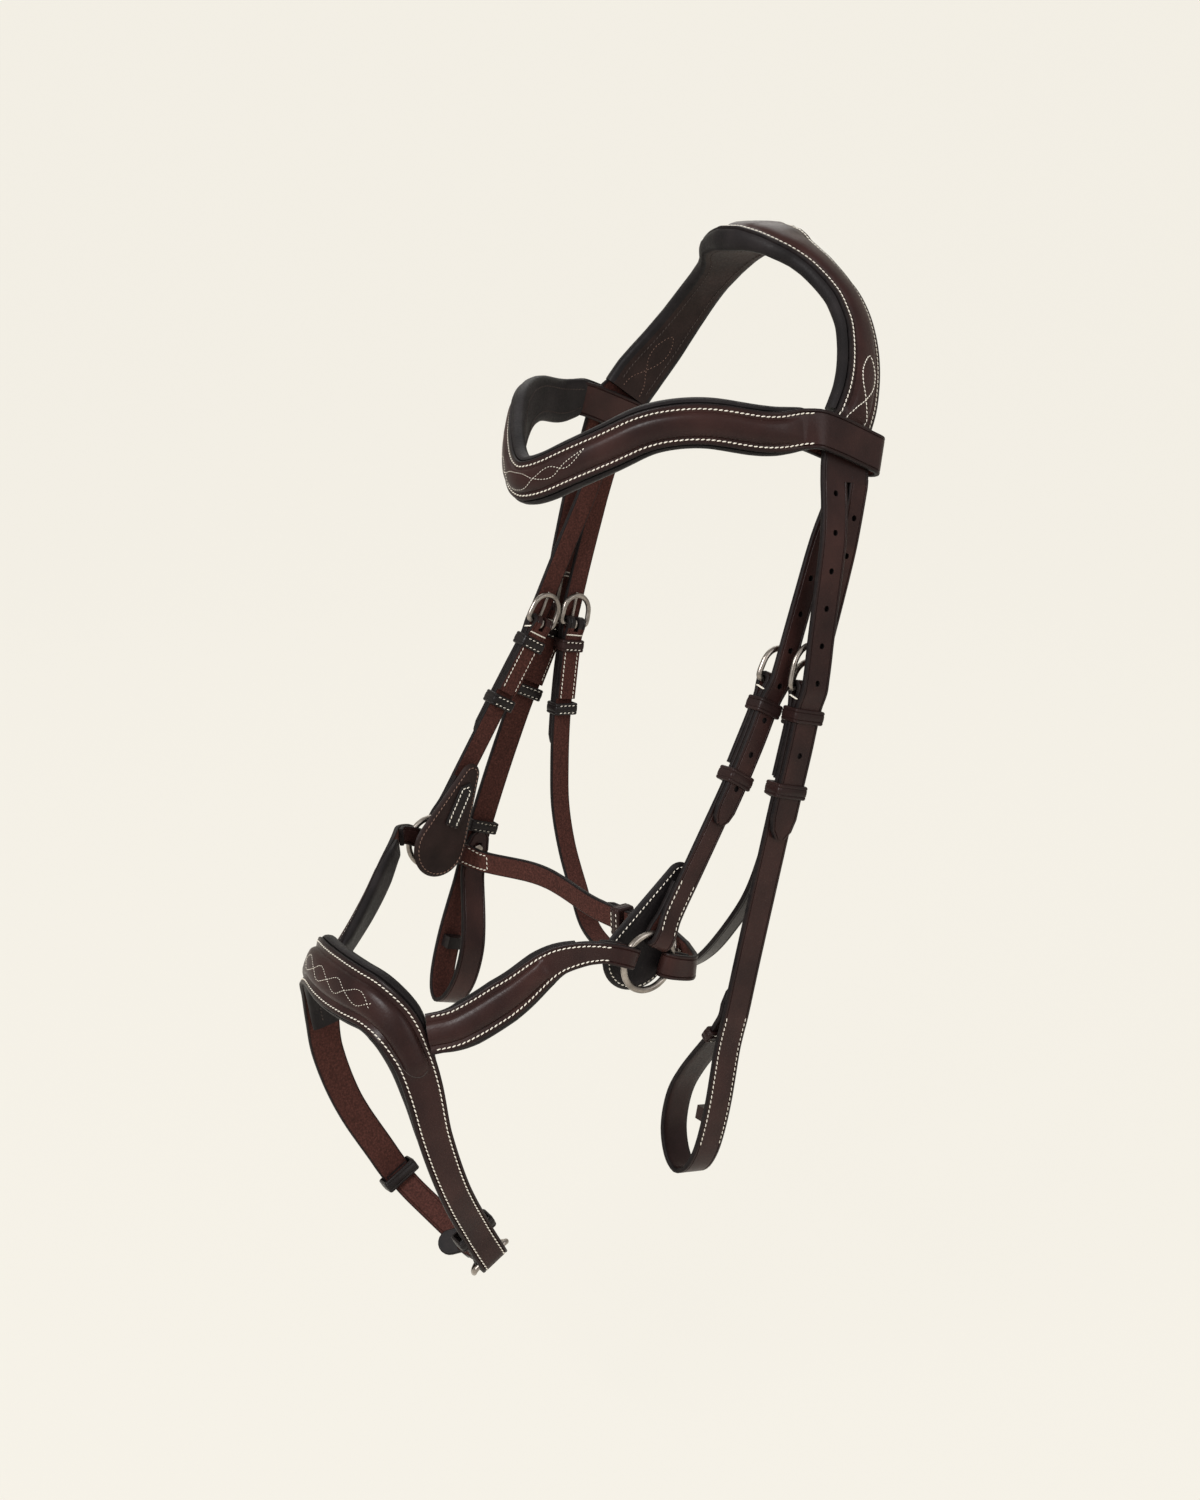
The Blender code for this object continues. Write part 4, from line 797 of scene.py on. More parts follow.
def add_stitches():
    """One mesh for each body and thread, of slanting beads drawn in at both ends.

    They are small and there are thousands, so the few faces of each are made directly.
    """
    turns = [math.tau * k / STITCH_SIDES for k in range(STITCH_SIDES)]
    for (body, look), stitches in THREADS.items():
        bm = bmesh.new()
        for place, along, out, size in stitches:
            side = out.cross(along).normalized()
            ahead = (along * math.cos(STITCH_SLANT) + side * math.sin(STITCH_SLANT)).normalized()
            side = out.cross(ahead).normalized()
            long, wide, high = STITCH_LENGTH * size / 2, STITCH_WIDTH * size / 2, STITCH_RISE * size
            rings = []
            for run_share, girth in STITCH_SHARES:
                centre = place + ahead * (long * run_share)
                rings.append([bm.verts.new(
                    centre + side * (wide * girth * math.cos(turn))
                    + out * (high * girth * (STITCH_SINK_SHARE + math.sin(turn)))
                ) for turn in turns])
            for a, b in zip(rings, rings[1:]):
                for corners in zip(a, a[1:] + a[:1], b[1:] + b[:1], b):
                    bm.faces.new(corners)
            bm.faces.new(rings[0])
            bm.faces.new(rings[-1])
        made = finish_mesh(body + "_" + look + "_rows", bm, (bpy.data.materials[look],))
        made.data.shade_smooth()
        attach(made, body)


def on_face(form, station, w, under):
    """A place on a form's face and the direction that the face looks."""
    return form.surface(station, w, under), -station.out if under else station.out


def row(form, body, inset, start, end, under=False, look=CREAM):
    """Sewn rows along both edges of a form, between two distances walked along it."""
    for side in (1, -1):
        line = [
            on_face(form, station, side * (station.width / 2 - inset), under)
            for walked, station in zip(form.walk, form.stations) if start <= walked <= end
        ]
        if len(line) > 1:
            sew(body, line, look)


def figure(form, body, points, under=False, look=CREAM, pitch=STITCH_PITCH, size=0.9):
    """A sewn figure, given as (distance walked, across) places joined smoothly."""
    flat = smooth_line([Vector((a, w, 0)) for a, w in points], 6)
    sew(body, [on_face(form, form.near(place.x), place.y, under) for place in flat], look, pitch, size)


# Tracks: places along and outward that a strap runs through
def run(start, end, height, count):
    """Places at one height, from start to end."""
    return [(start + (end - start) * i / count, height) for i in range(count + 1)]


def fold(at, heading, radius, open_run=0, slack=0):
    """Places over a bar and back, from the outer layer to the inner one."""
    half = [(at - heading * (open_run + FOLD_RUN), LAYER)]
    if open_run:
        half.append((at - heading * open_run, radius))
    half.append((at + heading * slack, radius))
    for i in range(1, FOLD_STEPS):
        turn = math.pi * i / FOLD_STEPS
        half.append((at + heading * (slack + radius * math.sin(turn)), radius * math.cos(turn)))
    return half + [(s, -o) for s, o in reversed(half[: len(half) - FOLD_STEPS + 1])]


def with_tip(track, width):
    """A track cut to a rounded end, and the widths that go with it."""
    end, height = track[-1]
    tip = [(end - width * share, height) for share in TIP_RUN_SHARES]
    return track[:-1] + tip, [width] * (len(track) - 1) + [width * share for share in TIP_WIDTH_SHARES]


# Parts that a buckled strap has
BILLET_ROOT = 4.0 * MM
BILLET_ROOT_SHARE = 0.6
LEG_SHARE = 0.42
PRONG_TURNS = (225, 180, 135, 90, 45)
PRONG_END_SHARE = 0.7


def add_billet(name, hold, top, width, tail=BILLET_TAIL, start=None):
    """A billet that lies over the frame and the strap, with its row of holes."""
    root = [(top - BILLET_ROOT, BILLET_OVER_FRAME)]
    lead = start or root + run(top, -hold.reach, BILLET_OVER_FRAME, 6)
    rise = BILLET_OVER_BAR - BILLET_OVER_FRAME
    over = [(-hold.reach * (1 - i / 4), BILLET_OVER_FRAME + rise * i / 4) for i in range(1, 5)]
    track = lead + over + run(FOLD_RUN, tail, BILLET_OVER_STRAP, 3)
    track, widths = with_tip(track, width)
    sections = [flat_section()] * len(track)
    if not start:
        sections[0] = flat_section(STRAP_THICK * BILLET_ROOT_SHARE)
    made = add_mesh(name, Form(hold, track, widths, sections), LEATHER)
    first = -hold.reach - HOLE_PITCH * int(max(-hold.reach - top, 0) / HOLE_PITCH)
    count = int((tail - width - first) / HOLE_PITCH) + 1
    for i in range(count):
        bore(made, hold, first + HOLE_PITCH * i)


def bore(target, hold, a):
    """One round punched hole through a billet."""
    place, _, out, across = hold.frame(a)
    reach = BILLET_OVER_BAR + STRAP_THICK
    bm = bmesh.new()
    radius = HOLE_WIDTH / 2
    bmesh.ops.create_cone(bm, cap_ends=True, segments=18, radius1=radius, radius2=radius, depth=reach)
    turn = Matrix((across.cross(out), across, out)).transposed().to_4x4()
    bmesh.ops.transform(bm, verts=bm.verts, matrix=Matrix.Translation(place + out * reach) @ turn)
    note_cut(target, finish_mesh(target.name + "_hole", bm, (EDGE,)))


def add_frame(name, hold, width):
    """A rounded horseshoe frame: a straight bar, two legs and an arch."""
    half = width / 2 + FRAME_ROOM + WIRE_RADIUS
    leg = hold.reach * LEG_SHARE
    round_in = WIRE_RADIUS
    places = [hold.at(0, 0, -half + round_in), hold.at(0, 0, half - round_in)]
    places.append(hold.at(-round_in, 0, half))
    for i in range(ARCH_STEPS + 1):
        turn = math.pi * i / ARCH_STEPS
        reach = leg + (hold.reach - leg) * math.sin(turn)
        places.append(hold.at(-reach, 0, half * math.cos(turn)))
    places.append(hold.at(-round_in, 0, -half))
    add_tube(name, places, WIRE_RADIUS, closed=True)


def add_prong(name, hold):
    """A tongue that hooks round the bar and lies on the frame, under the billet."""
    places = []
    for degrees in PRONG_TURNS:
        turn = math.radians(degrees)
        places.append(hold.at(PRONG_REACH * math.sin(turn), PRONG_REACH * math.cos(turn)))
    places[0] = hold.at(-PRONG_REACH * PRONG_END_SHARE, -PRONG_REACH * PRONG_END_SHARE)
    places += [hold.at(-hold.reach * i / 4, PRONG_REACH) for i in range(5)]
    places.append(hold.at(-hold.reach - WIRE_RADIUS, PRONG_REACH))
    add_tube(name, places, PRONG_RADIUS)


def cut_prong_slot(target, hold):
    """The slot in a fold that lets the prong turn on its bar."""
    half = PRONG_RADIUS + SLOT_ROOM
    low, high = -FOLD_RADIUS - STRAP_THICK, PRONG_REACH + PRONG_RADIUS + SLOT_ROOM
    reach = FOLD_RADIUS + STRAP_THICK
    add_block_cut(target, hold, (low, high), (-reach, reach), half)


def block(hold, along, outward, half):
    """A box between two places along and two outward, this wide each way."""
    (a0, a1), (o0, o1) = along, outward
    middle = (a0 + a1) / 2
    place, ahead, out, across = hold.frame(middle)
    place = place - ahead * middle
    rings = []
    for a in (a0, a1):
        ends = ((o0, -half), (o0, half), (o1, half), (o1, -half))
        rings.append([place + ahead * a + out * o + across * w for o, w in ends])
    return solid(rings)


def add_block_cut(target, hold, along, outward, half):
    note_cut(target, add_mesh(target.name + "_cut", block(hold, along, outward, half), NICKEL))


def band(hold, a, low, high, width):
    """A closed leather band round the layers from low to high, about one place."""
    place, ahead, out, across = hold.frame(a)
    return loop_band(place, ahead, out, across, low, high, width)


# Along a keeper as a share of its height, and how thick its wall stands there
KEEPER_STEPS = ((-0.5, 0.35), (-0.46, 0.8), (-0.38, 1), (-0.3, 1), (-0.26, 0.8), (-0.22, 1), (0, 1.08))
KEEPER_STEPS += tuple((-at, grow) for at, grow in KEEPER_STEPS[-2::-1])
CORNER_TURNS = 5


def loop_band(place, ahead, out, across, low, high, width):
    """A rounded band with a creased line near each edge."""
    bm = bmesh.new()
    loops = []
    middle = (high + low) / 2
    steps = [(at, grow * KEEPER_WALL) for at, grow in KEEPER_STEPS] + [(0.5, 0), (-0.5, 0)]
    for at, grow in steps:
        corner = grow + GAP
        half_wide, half_high = width / 2 + GAP + grow, (high - low) / 2 + GAP + grow
        verts = []
        for quarter, (x, y) in enumerate(((1, 1), (-1, 1), (-1, -1), (1, -1))):
            for k in range(CORNER_TURNS):
                turn = math.pi / 2 * (quarter + k / (CORNER_TURNS - 1))
                w = x * (half_wide - corner) + corner * math.cos(turn)
                h = y * (half_high - corner) + corner * math.sin(turn)
                verts.append(bm.verts.new(
                    place + ahead * (at * KEEPER_HEIGHT) + across * w + out * (middle + h)
                ))
        loops.append([bm.edges.new(pair) for pair in zip(verts, verts[1:] + verts[:1])])
    for first, second in zip(loops, loops[1:] + loops[:1]):
        bmesh.ops.bridge_loops(bm, edges=first + second)
    BANDS.append((place, ahead, out, across, width, low - GAP - KEEPER_WALL))
    return bm


def sew_on_keeper(target, hold, a, width):
    """A fixed keeper whose ends are sewn between the two layers of the fold."""
    low, high = -LAYER - STRAP_THICK / 2, BILLET_OVER_STRAP + STRAP_THICK / 2
    name = target.name[: -len("_look")]
    bm = band(hold, a, low, high, width)
    made = finish_mesh(name + "_sewn_keeper", bm, look_of(name + "_keeper", LEATHER))
    KEEPER_FRAMES[made.name] = BANDS[-1]
    EXTRAS.append((made, name))


def add_running_keeper(name, hold, a, width):
    """A loose keeper round the strap and its billet."""
    low, high = -LAYER - STRAP_THICK / 2, BILLET_OVER_STRAP + STRAP_THICK / 2
    add_mesh(name, band(hold, a, low, high, width), LEATHER)


# Headpiece
SIDES = (("near", 1), ("far", -1))
HEAD_HUB_SHARE = 0.6
BILLETS_WIDTH = CHEEK_WIDTH + THROAT_WIDTH + BILLETS_SPACE


def head_route():
    """The underside of the headpiece, from the near strap ends over the poll."""
    near, outs = [], []
    middle = HEAD_DROP * HEAD_HUB_SHARE
    for x, y, z, lean in zip(HEAD_X_SHARES, HEAD_Y_SHARES, HEAD_Z_SHARES, HEAD_LEAN_SHARES):
        near.append(Vector((HEAD_HALF_SPAN * x, HEAD_SWEEP * y, -HEAD_DROP * z)))
        outs.append(Vector((near[-1].x, 0, near[-1].z + middle)).normalized())
        outs[-1].y = lean
    outs[0] = outs[1] = outs[2] = Vector((0, 0, 1))
    outs[-1] = outs[-2] = outs[-3] = Vector((1, 0, 0))
    near.reverse()
    outs.reverse()
    return Route(near + mirrored(near), outs + mirrored(outs), zero=len(near) - 1)


HEAD = head_route()
HEAD_COUNT = len(HEAD_X_SHARES)
HEAD_END = HEAD.mark(2 * HEAD_COUNT - 2)


def head_sizes(marks, shares, size):
    """A size along the headpiece, read between the shares at its given places."""
    return sizes_at(marks, [HEAD.mark(HEAD_COUNT - 1 + i) for i in range(HEAD_COUNT)], shares, size)


HEAD_PAD_END = HEAD_END * HEAD_PAD_END_SHARE


def head_marks(end):
    """Stations from near to far: none on the poll itself, which stays flat there."""
    marks = [HEAD.mark(HEAD_COUNT - 1 + i) for i in range(1, HEAD_COUNT)]
    marks += [(a + b) / 2 for a, b in zip(marks, marks[1:])] + [HEAD_PAD_END]
    marks = sorted(mark for mark in marks if mark <= end)
    return [-mark for mark in reversed(marks)] + marks


def add_headpiece():
    """The crown leather and the padding under it, with straight strap ends."""
    marks = head_marks(HEAD_END)
    widths = head_sizes(marks, HEAD_WIDTH_SHARES, HEAD_WIDTH)
    widths = [
        BILLETS_WIDTH if abs(m) > HEAD_PAD_END else w - 2 * PAD_PROUD for m, w in zip(marks, widths)
    ]
    sections = [raised_section(abs(m) < HEAD_PAD_END) for m in marks]
    plumps = head_sizes(marks, HEAD_PLUMP_SHARES, HEAD_PLUMP)
    track = [(mark, HEAD_OUTER + plump) for mark, plump in zip(marks, plumps)]
    add_mesh("headpiece_leather", Form(HEAD, track, widths, sections), LEATHER)
    marks = head_marks(HEAD_PAD_END)
    thick = [PAD_THICK + plump for plump in head_sizes(marks, HEAD_PLUMP_SHARES, HEAD_PLUMP)]
    track = [(mark, t / 2) for mark, t in zip(marks, thick)]
    widths = head_sizes(marks, HEAD_WIDTH_SHARES, HEAD_WIDTH)
    padding = Form(HEAD, track, widths, [padded_section(t) for t in thick])
    add_mesh("headpiece_padding", padding, PADDING)


def strap_top(side, height, w):
    """Where a billet leaves the headpiece, so that its own layer lies at this height."""
    return HEAD.at(-side * HEAD_END, height - BILLET_OVER_FRAME, w)


def sideways(place, side):
    return Vector((place.x * side, place.y, place.z))


def outward_all(side, count):
    return [Vector((side, 0, 0))] * count


# Cheekpieces
RETURN_KEEPER_AT = 29.0 * MM
RETURN_SHARE = 0.8
LINING_KEEPER_DEEP = 7.0 * MM
LINING_KEEPER_SHARE = 0.39
STUD_ROOM_SHARE = 1.5
SLIT_SHARE = 0.7
BIT_KEEPER_SHARE = 1.5
# Round the bit loop: up from its foot and back, as shares of its height and depth
BIT_LOOP_SHARES = (
    (0.8, 0.03), (0.5, -0.01), (0.22, 0.04), (0.06, 0.2), (0, 0.46), (0.06, 0.75),
    (0.22, 0.96), (0.45, 0.93), (0.68, 0.6), (0.87, 0.25),
)


def cheek_route(side):
    """From the headpiece down over the buckle's bar to the foot of the bit loop."""
    top = strap_top(side, HEAD_OUTER, (CHEEK_WIDTH - BILLETS_WIDTH) / 2)
    bar = sideways(CHEEK_BAR, side)
    reach, lean = CHEEK_LENGTHS[side], CHEEK_LEANS[side]
    fall = Vector((side * CHEEK_FLARE, -math.sin(lean), -math.cos(lean)))
    places = [top, top - HEAD.frame(-side * HEAD_END)[1] * (side * CHEEK_SPREAD)]
    for share, bulge in CHEEK_BULGE_SHARES:
        places.append(top.lerp(bar, share) + Vector((side * CHEEK_SPREAD * bulge, 0, 0)))
    places.append(bar)
    for share, bow in CHEEK_BOWS[side]:
        places.append(bar + fall * (reach * share) + Vector((0, bow, 0)))
    return Route(places, outward_all(side, len(places)), zero=4)


def add_cheek(side_name, side):
    """One cheekpiece: billet, strap with its bit loop, buckle, keepers and stud."""
    route = cheek_route(side)
    hold = Buckled(route, 0, CHEEK_WIDTH)
    label = side_name + "_cheek_"
    length = CHEEK_LENGTHS[side]
    add_billet(label + "billet", hold, route.mark(0) + GAP, CHEEK_WIDTH)
    add_frame(label + "buckle", hold, CHEEK_WIDTH)
    add_prong(label + "prong", hold)
    loop_top = length - BIT_LOOP_TOP
    drop = [Vector((loop_top, LAYER, 0))]
    for run_share, depth_share in BIT_LOOP_SHARES:
        depth = BIT_LOOP_DEPTHS[side] * depth_share
        drop.append(Vector((length - BIT_LOOP_TOP * run_share, LAYER - depth, 0)))
    drop.append(Vector((loop_top, -LAYER, 0)))
    loop = [(place.x, place.y) for place in smooth_line(drop, 2)]
    track = [(CHAPE_END, -LAYER)] + fold(0, -1, FOLD_RADIUS)[::-1]
    track += run(FOLD_RUN, loop_top, LAYER, 6)[1:-1] + loop
    end = loop_top - BIT_RETURN * RETURN_SHARE
    widths = [CHEEK_WIDTH] * len(track) + [CHEEK_WIDTH * share for share in TIP_WIDTH_SHARES]
    track += [(end + CHEEK_WIDTH * share, -LAYER) for share in TIP_RUN_SHARES]
    strap = add_mesh(label + "strap", Form(hold, track, widths, flat_section()), LEATHER)
    cut_prong_slot(strap, hold)
    sew_on_keeper(strap, hold, SEWN_KEEPER_AT, CHEEK_WIDTH)
    stud_at = loop_top - STUD_RADIUS * STUD_ROOM_SHARE
    slit = STUD_RADIUS + SLOT_ROOM
    depths = (-LAYER - STRAP_THICK, 0)
    add_block_cut(strap, hold, (stud_at - slit, stud_at + slit), depths, STUD_RADIUS * SLIT_SHARE)
    add_running_keeper(label + "running_keeper", hold, RUNNING_KEEPER_AT, CHEEK_WIDTH)
    keeper_at = stud_at - STUD_RADIUS - KEEPER_HEIGHT * BIT_KEEPER_SHARE
    side_of = LAYER + STRAP_THICK / 2
    if side > 0:
        form = FORMS[label + "strap"]
        there = form.near(form.walk[-1] - RETURN_KEEPER_AT)
        half = STRAP_THICK / 2
        bm = loop_band(there.place, there.along, there.out, there.across, -half, half, CHEEK_WIDTH)
    else:
        bm = band(hold, keeper_at, -side_of, side_of, CHEEK_WIDTH)
    add_mesh(side_name + "_bit_loop_keeper", bm, LEATHER)
    add_stud(side_name + "_hook_stud", hold, stud_at)
    below = length - BIT_LOOP_TOP * LINING_KEEPER_SHARE
    face = LAYER - STRAP_THICK / 2 - GAP
    reach = KEEPER_HEIGHT / 2
    depths = (face - LINING_KEEPER_DEEP, face)
    bm = block(hold, (below - reach, below + reach), depths, CHEEK_WIDTH / 3)
    add_mesh(side_name + "_lining_keeper", bm, LEATHER)


def add_stud(name, hold, a):
    """A mushroom stud, turned about its own axis, that the return strap hooks over."""
    place, ahead, out, _ = hold.frame(a)
    foot = LAYER - STRAP_THICK / 2 - GAP
    neck = LAYER + STRAP_THICK / 2 + GAP
    head = neck + KEEPER_WALL
    shank = STUD_RADIUS / 2
    bm = bmesh.new()
    profile = (
        (0, -foot), (shank, -foot), (shank, neck), (STUD_RADIUS, neck), (STUD_RADIUS, head), (0, head),
    )
    verts = [bm.verts.new(place - out * h + ahead * r) for r, h in profile]
    edges = [bm.edges.new(pair) for pair in zip(verts, verts[1:])]
    bmesh.ops.spin(
        bm, geom=verts + edges, cent=place, axis=out, angle=math.tau, steps=HOLE_SIDES, use_merge=True
    )
    bmesh.ops.remove_doubles(bm, verts=bm.verts, dist=GAP / 10)
    add_mesh(name, bm, NICKEL)


# Noseband hangers, rings and ring pads
HEAD_ENDS = 1 + len([mark for mark in head_marks(HEAD_END) if mark > HEAD_PAD_END])


def hanger_route(side):
    """From inside the headpiece down over the buckle's bar to the ring."""
    marks = [HEAD_PAD_END + PAD_PROUD] + [m for m in head_marks(HEAD_END) if m > HEAD_PAD_END]
    places = [HEAD.at(-side * mark, HEAD_INNER - BILLET_OVER_FRAME) for mark in marks]
    bar, end = HANGER_BARS[side], places[-1]
    places.append(bar.lerp(end, HANGER_TUCK_SHARE) - Vector((side * HANGER_TUCK, 0, 0)))
    foot = ring_centre(side) + ring_arm(hanger_angle(side))
    bow = Vector((0, HANGER_BOWS[side], 0))
    places += [bar.lerp(end, HANGER_LEAD_SHARE), bar]
    places += [bar.lerp(foot, share) + bow * part for share, part in HANGER_BOW_SHARES]
    places += [foot, foot + (foot - bar) * HANGER_BEYOND]
    return Route(places, outward_all(side, len(places)), zero=len(marks) + 2)


def hanger_angle(side):
    """The hanger points at the middle of its ring."""
    away = HANGER_BARS[side] - ring_centre(side)
    return math.atan2(away.z, away.y)


def ring_centre(side):
    return sideways(RING_CENTRE, side)


def ring_arm(angle):
    """From a ring's centre to its wire, in the plane that the ring lies in."""
    return Vector((0, RING_RADIUS * math.cos(angle), RING_RADIUS * math.sin(angle)))


def add_hanger(side_name, side):
    """A hanger strap from the headpiece's inner billet to its ring."""
    route = hanger_route(side)
    hold = Buckled(route, 0, HANGER_WIDTH)
    length = (ring_centre(side) + ring_arm(hanger_angle(side)) - HANGER_BARS[side]).length
    label = side_name + "_hanger_"
    tops = [route.mark(i) for i in range(HEAD_ENDS)]
    start = [(mark, BILLET_OVER_FRAME) for mark in tops]
    start += run(tops[-1], -hold.reach, BILLET_OVER_FRAME, 3)[1:]
    add_billet(side_name + "_noseband_billet", hold, tops[-1], HANGER_WIDTH, start=start)
    add_frame(label + "buckle", hold, HANGER_WIDTH)
    add_prong(label + "prong", hold)
    foot = fold(length, 1, RING_FOLD, RING_WIRE, RING_SLACK)
    track = [(CHAPE_END, -LAYER)] + fold(0, -1, FOLD_RADIUS)[::-1]
    track += run(FOLD_RUN, foot[0][0], LAYER, 5)[1:-1] + foot
    track.append((length - RING_RETURN, -LAYER))
    strap = add_mesh(label + "strap", Form(hold, track, HANGER_WIDTH, flat_section()), LEATHER)
    cut_prong_slot(strap, hold)
    sew_on_keeper(strap, hold, SEWN_KEEPER_AT, HANGER_WIDTH)
    add_running_keeper(label + "running_keeper", hold, RUNNING_KEEPER_AT, HANGER_WIDTH)


RING_STEPS = 96
RING_SIDES = 16


def add_ring(side_name, side):
    """A round wire, spun about the ring's own axis."""
    centre = ring_centre(side)
    bm = bmesh.new()
    wire = bmesh.ops.create_circle(bm, cap_ends=False, radius=RING_WIRE, segments=RING_SIDES)["verts"]
    bmesh.ops.transform(bm, verts=wire, matrix=Matrix.Translation(centre + ring_arm(0)))
    bmesh.ops.spin(
        bm, geom=bm.verts[:] + bm.edges[:], cent=centre, axis=Vector((1, 0, 0)), angle=math.tau,
        steps=RING_STEPS, use_merge=True,
    )
    made = finish_mesh(side_name + "_ring_look", bm, (METAL,))
    made.data.shade_smooth()
    PIECES[side_name + "_ring"] = made


PAD_STEPS = 28
# Through the pad as a share of its thickness, and how far its edge is drawn in there
RING_PAD_LAYERS = (
    (0, 5.4), (0, 4.3), (0.03, 3.9), (0, 3.4), (0.09, 1.5), (0.3, 0.45), (0.5, 0), (0.7, 0.45),
    (0.91, 1.5), (1, 3.4), (1, 5.4),
)
RING_PAD_LINED = 0.4
RING_PAD_ROW = 2.3 * MM
RING_PAD_STITCH = 0.85


def pad_outline(side, shrink):
    """The teardrop's edge, drawn in by shrink."""
    centre = ring_centre(side)
    outer = centre.x - side * (RING_FOLD + STRAP_THICK / 2 + GAP)
    neck = RING_PAD_NECK / 2
    spread = math.acos((RING_PAD_RADIUS - neck) / RING_PAD_RISE)
    up = hanger_angle(side)
    rear = centre.y + RING_PAD_RISE * math.cos(up) + neck
    places = []
    for hub, radius, start, sweep_angle in (
        (0, RING_PAD_RADIUS, up + spread, math.tau - 2 * spread),
        (RING_PAD_RISE, neck, up - spread, 2 * spread),
    ):
        for i in range(PAD_STEPS + 1):
            turn = start + sweep_angle * i / PAD_STEPS
            y = centre.y + hub * math.cos(up) + (radius - shrink) * math.cos(turn)
            z = centre.z + hub * math.sin(up) + (radius - shrink) * math.sin(turn)
            places.append(Vector((outer - side * RING_PAD_TILT * (rear - y), y, z)))
    return places


TAB_WIDTH = 9.0 * MM
TAB_THICK = 1.6 * MM
TAB_SPAN = (13.0 * MM, 40.0 * MM)
TAB_INSET = 1.6 * MM
TAB_TIP_SHARE = 0.1


def add_ring_tab(side_name, side):
    """The sewn tab on the pad's inner face, from a slot to its point."""
    centre = ring_centre(side)
    up = hanger_angle(side)
    ahead = Vector((0, math.cos(up), math.sin(up)))
    across = Vector((0, -math.sin(up), math.cos(up)))
    rear = centre.y + RING_PAD_RISE * math.cos(up) + RING_PAD_NECK / 2
    outer = centre.x - side * (RING_FOLD + STRAP_THICK / 2 + GAP + RING_PAD_THICK)

    def at(walk, w, rise=0.0):
        place = Vector((0, centre.y, centre.z)) + ahead * walk + across * w
        place.x = outer - side * (RING_PAD_TILT * (rear - place.y) + rise)
        return place

    start, end = TAB_SPAN
    half = TAB_WIDTH / 2
    tip = -half * TAB_TIP_SHARE
    corners = [(start, -half), (end - half, -half), (end, tip), (end - half, half), (start, half)]
    outline = [at(a, w, -GAP) for a, w in corners]
    bm = solid([outline, [place - Vector((side * TAB_THICK, 0, 0)) for place in outline]])
    name = side_name + "_ring_pad"
    tab = finish_mesh(side_name + "_ring_tab", bm, (BLACK,), MM / 4)
    EXTRAS.append((tab, name))
    turn = end - half - TAB_INSET * 0.4
    seam = [(start + MM, TAB_INSET - half), (turn, TAB_INSET - half), (end - 2 * TAB_INSET, 0)]
    seam += [(turn, half - TAB_INSET), (start + MM, half - TAB_INSET)]
    top = TAB_THICK - GAP
    sew(NODE_BODY[name], [(at(a, w, top), Vector((-side, 0, 0))) for a, w in seam])
    slot = [(at(start, w, top), Vector((-side, 0, 0))) for w in (-half, half)]
    sew(NODE_BODY[name], slot, DARK)


def add_ring_pad(side_name, side):
    """A stuffed teardrop with a sewn line, whose neck runs up along the hanger."""
    outlines = []
    for depth, shrink in RING_PAD_LAYERS:
        back = Vector((-side * RING_PAD_THICK * depth, 0, 0))
        outlines.append([place + back for place in pad_outline(side, shrink * MM)])
    bm = bmesh.new()
    rings, ends = sweep(bm, outlines)
    for (depth, _), a, b in zip(RING_PAD_LAYERS, rings, rings[1:]):
        for face in walls(bm, a, b):
            face.material_index = RIM if depth > RING_PAD_LINED else FACE
    ends[1].material_index = RIM
    name = side_name + "_ring_pad"
    PIECES[name] = finish_mesh(name + "_look", bm, (PAD, LINING))
    PIECES[name].data.shade_smooth()
    line = pad_outline(side, RING_PAD_ROW)
    out = Vector((side, 0, 0))
    for depth, face, look in ((0.03, out, CREAM), (0.97, -out, TAN)):
        shift = -out * (RING_PAD_THICK * depth)
        sew(NODE_BODY[name], [(p + shift, face) for p in line + line[:1]], look, size=RING_PAD_STITCH)
    add_ring_tab(side_name, side)


# Throatlatch
def throat_route():
    """From the near billet's top, under the throat, to the far one's."""
    w = (BILLETS_WIDTH - THROAT_WIDTH) / 2
    places, outs = [strap_top(1, HEAD_OUTER, w)], [Vector((1, 0, 0))]
    aside = Vector((HANGER_TUCK, 0, 0))
    places.append(places[0].lerp(THROAT_BAR, 0.3) + aside)
    outs.append(Vector((1, 0, 0)))
    for x, y, z in zip(THROAT_X_SHARES, THROAT_Y_SHARES, THROAT_Z_SHARES):
        drop = Vector(((x - 1) * THROAT_BAR.x, -THROAT_SWEEP * y, -THROAT_DEPTH * z))
        places.append(THROAT_BAR + drop)
        outs.append(Vector((x * (1 - z * 0.6), 0, -z * z)))
    far_top = strap_top(-1, HEAD_OUTER, w)
    places += [far_top.lerp(places[-1], 0.3) - aside, far_top]
    outs += [Vector((-1, 0, 0))] * 2
    return Route(places, outs)


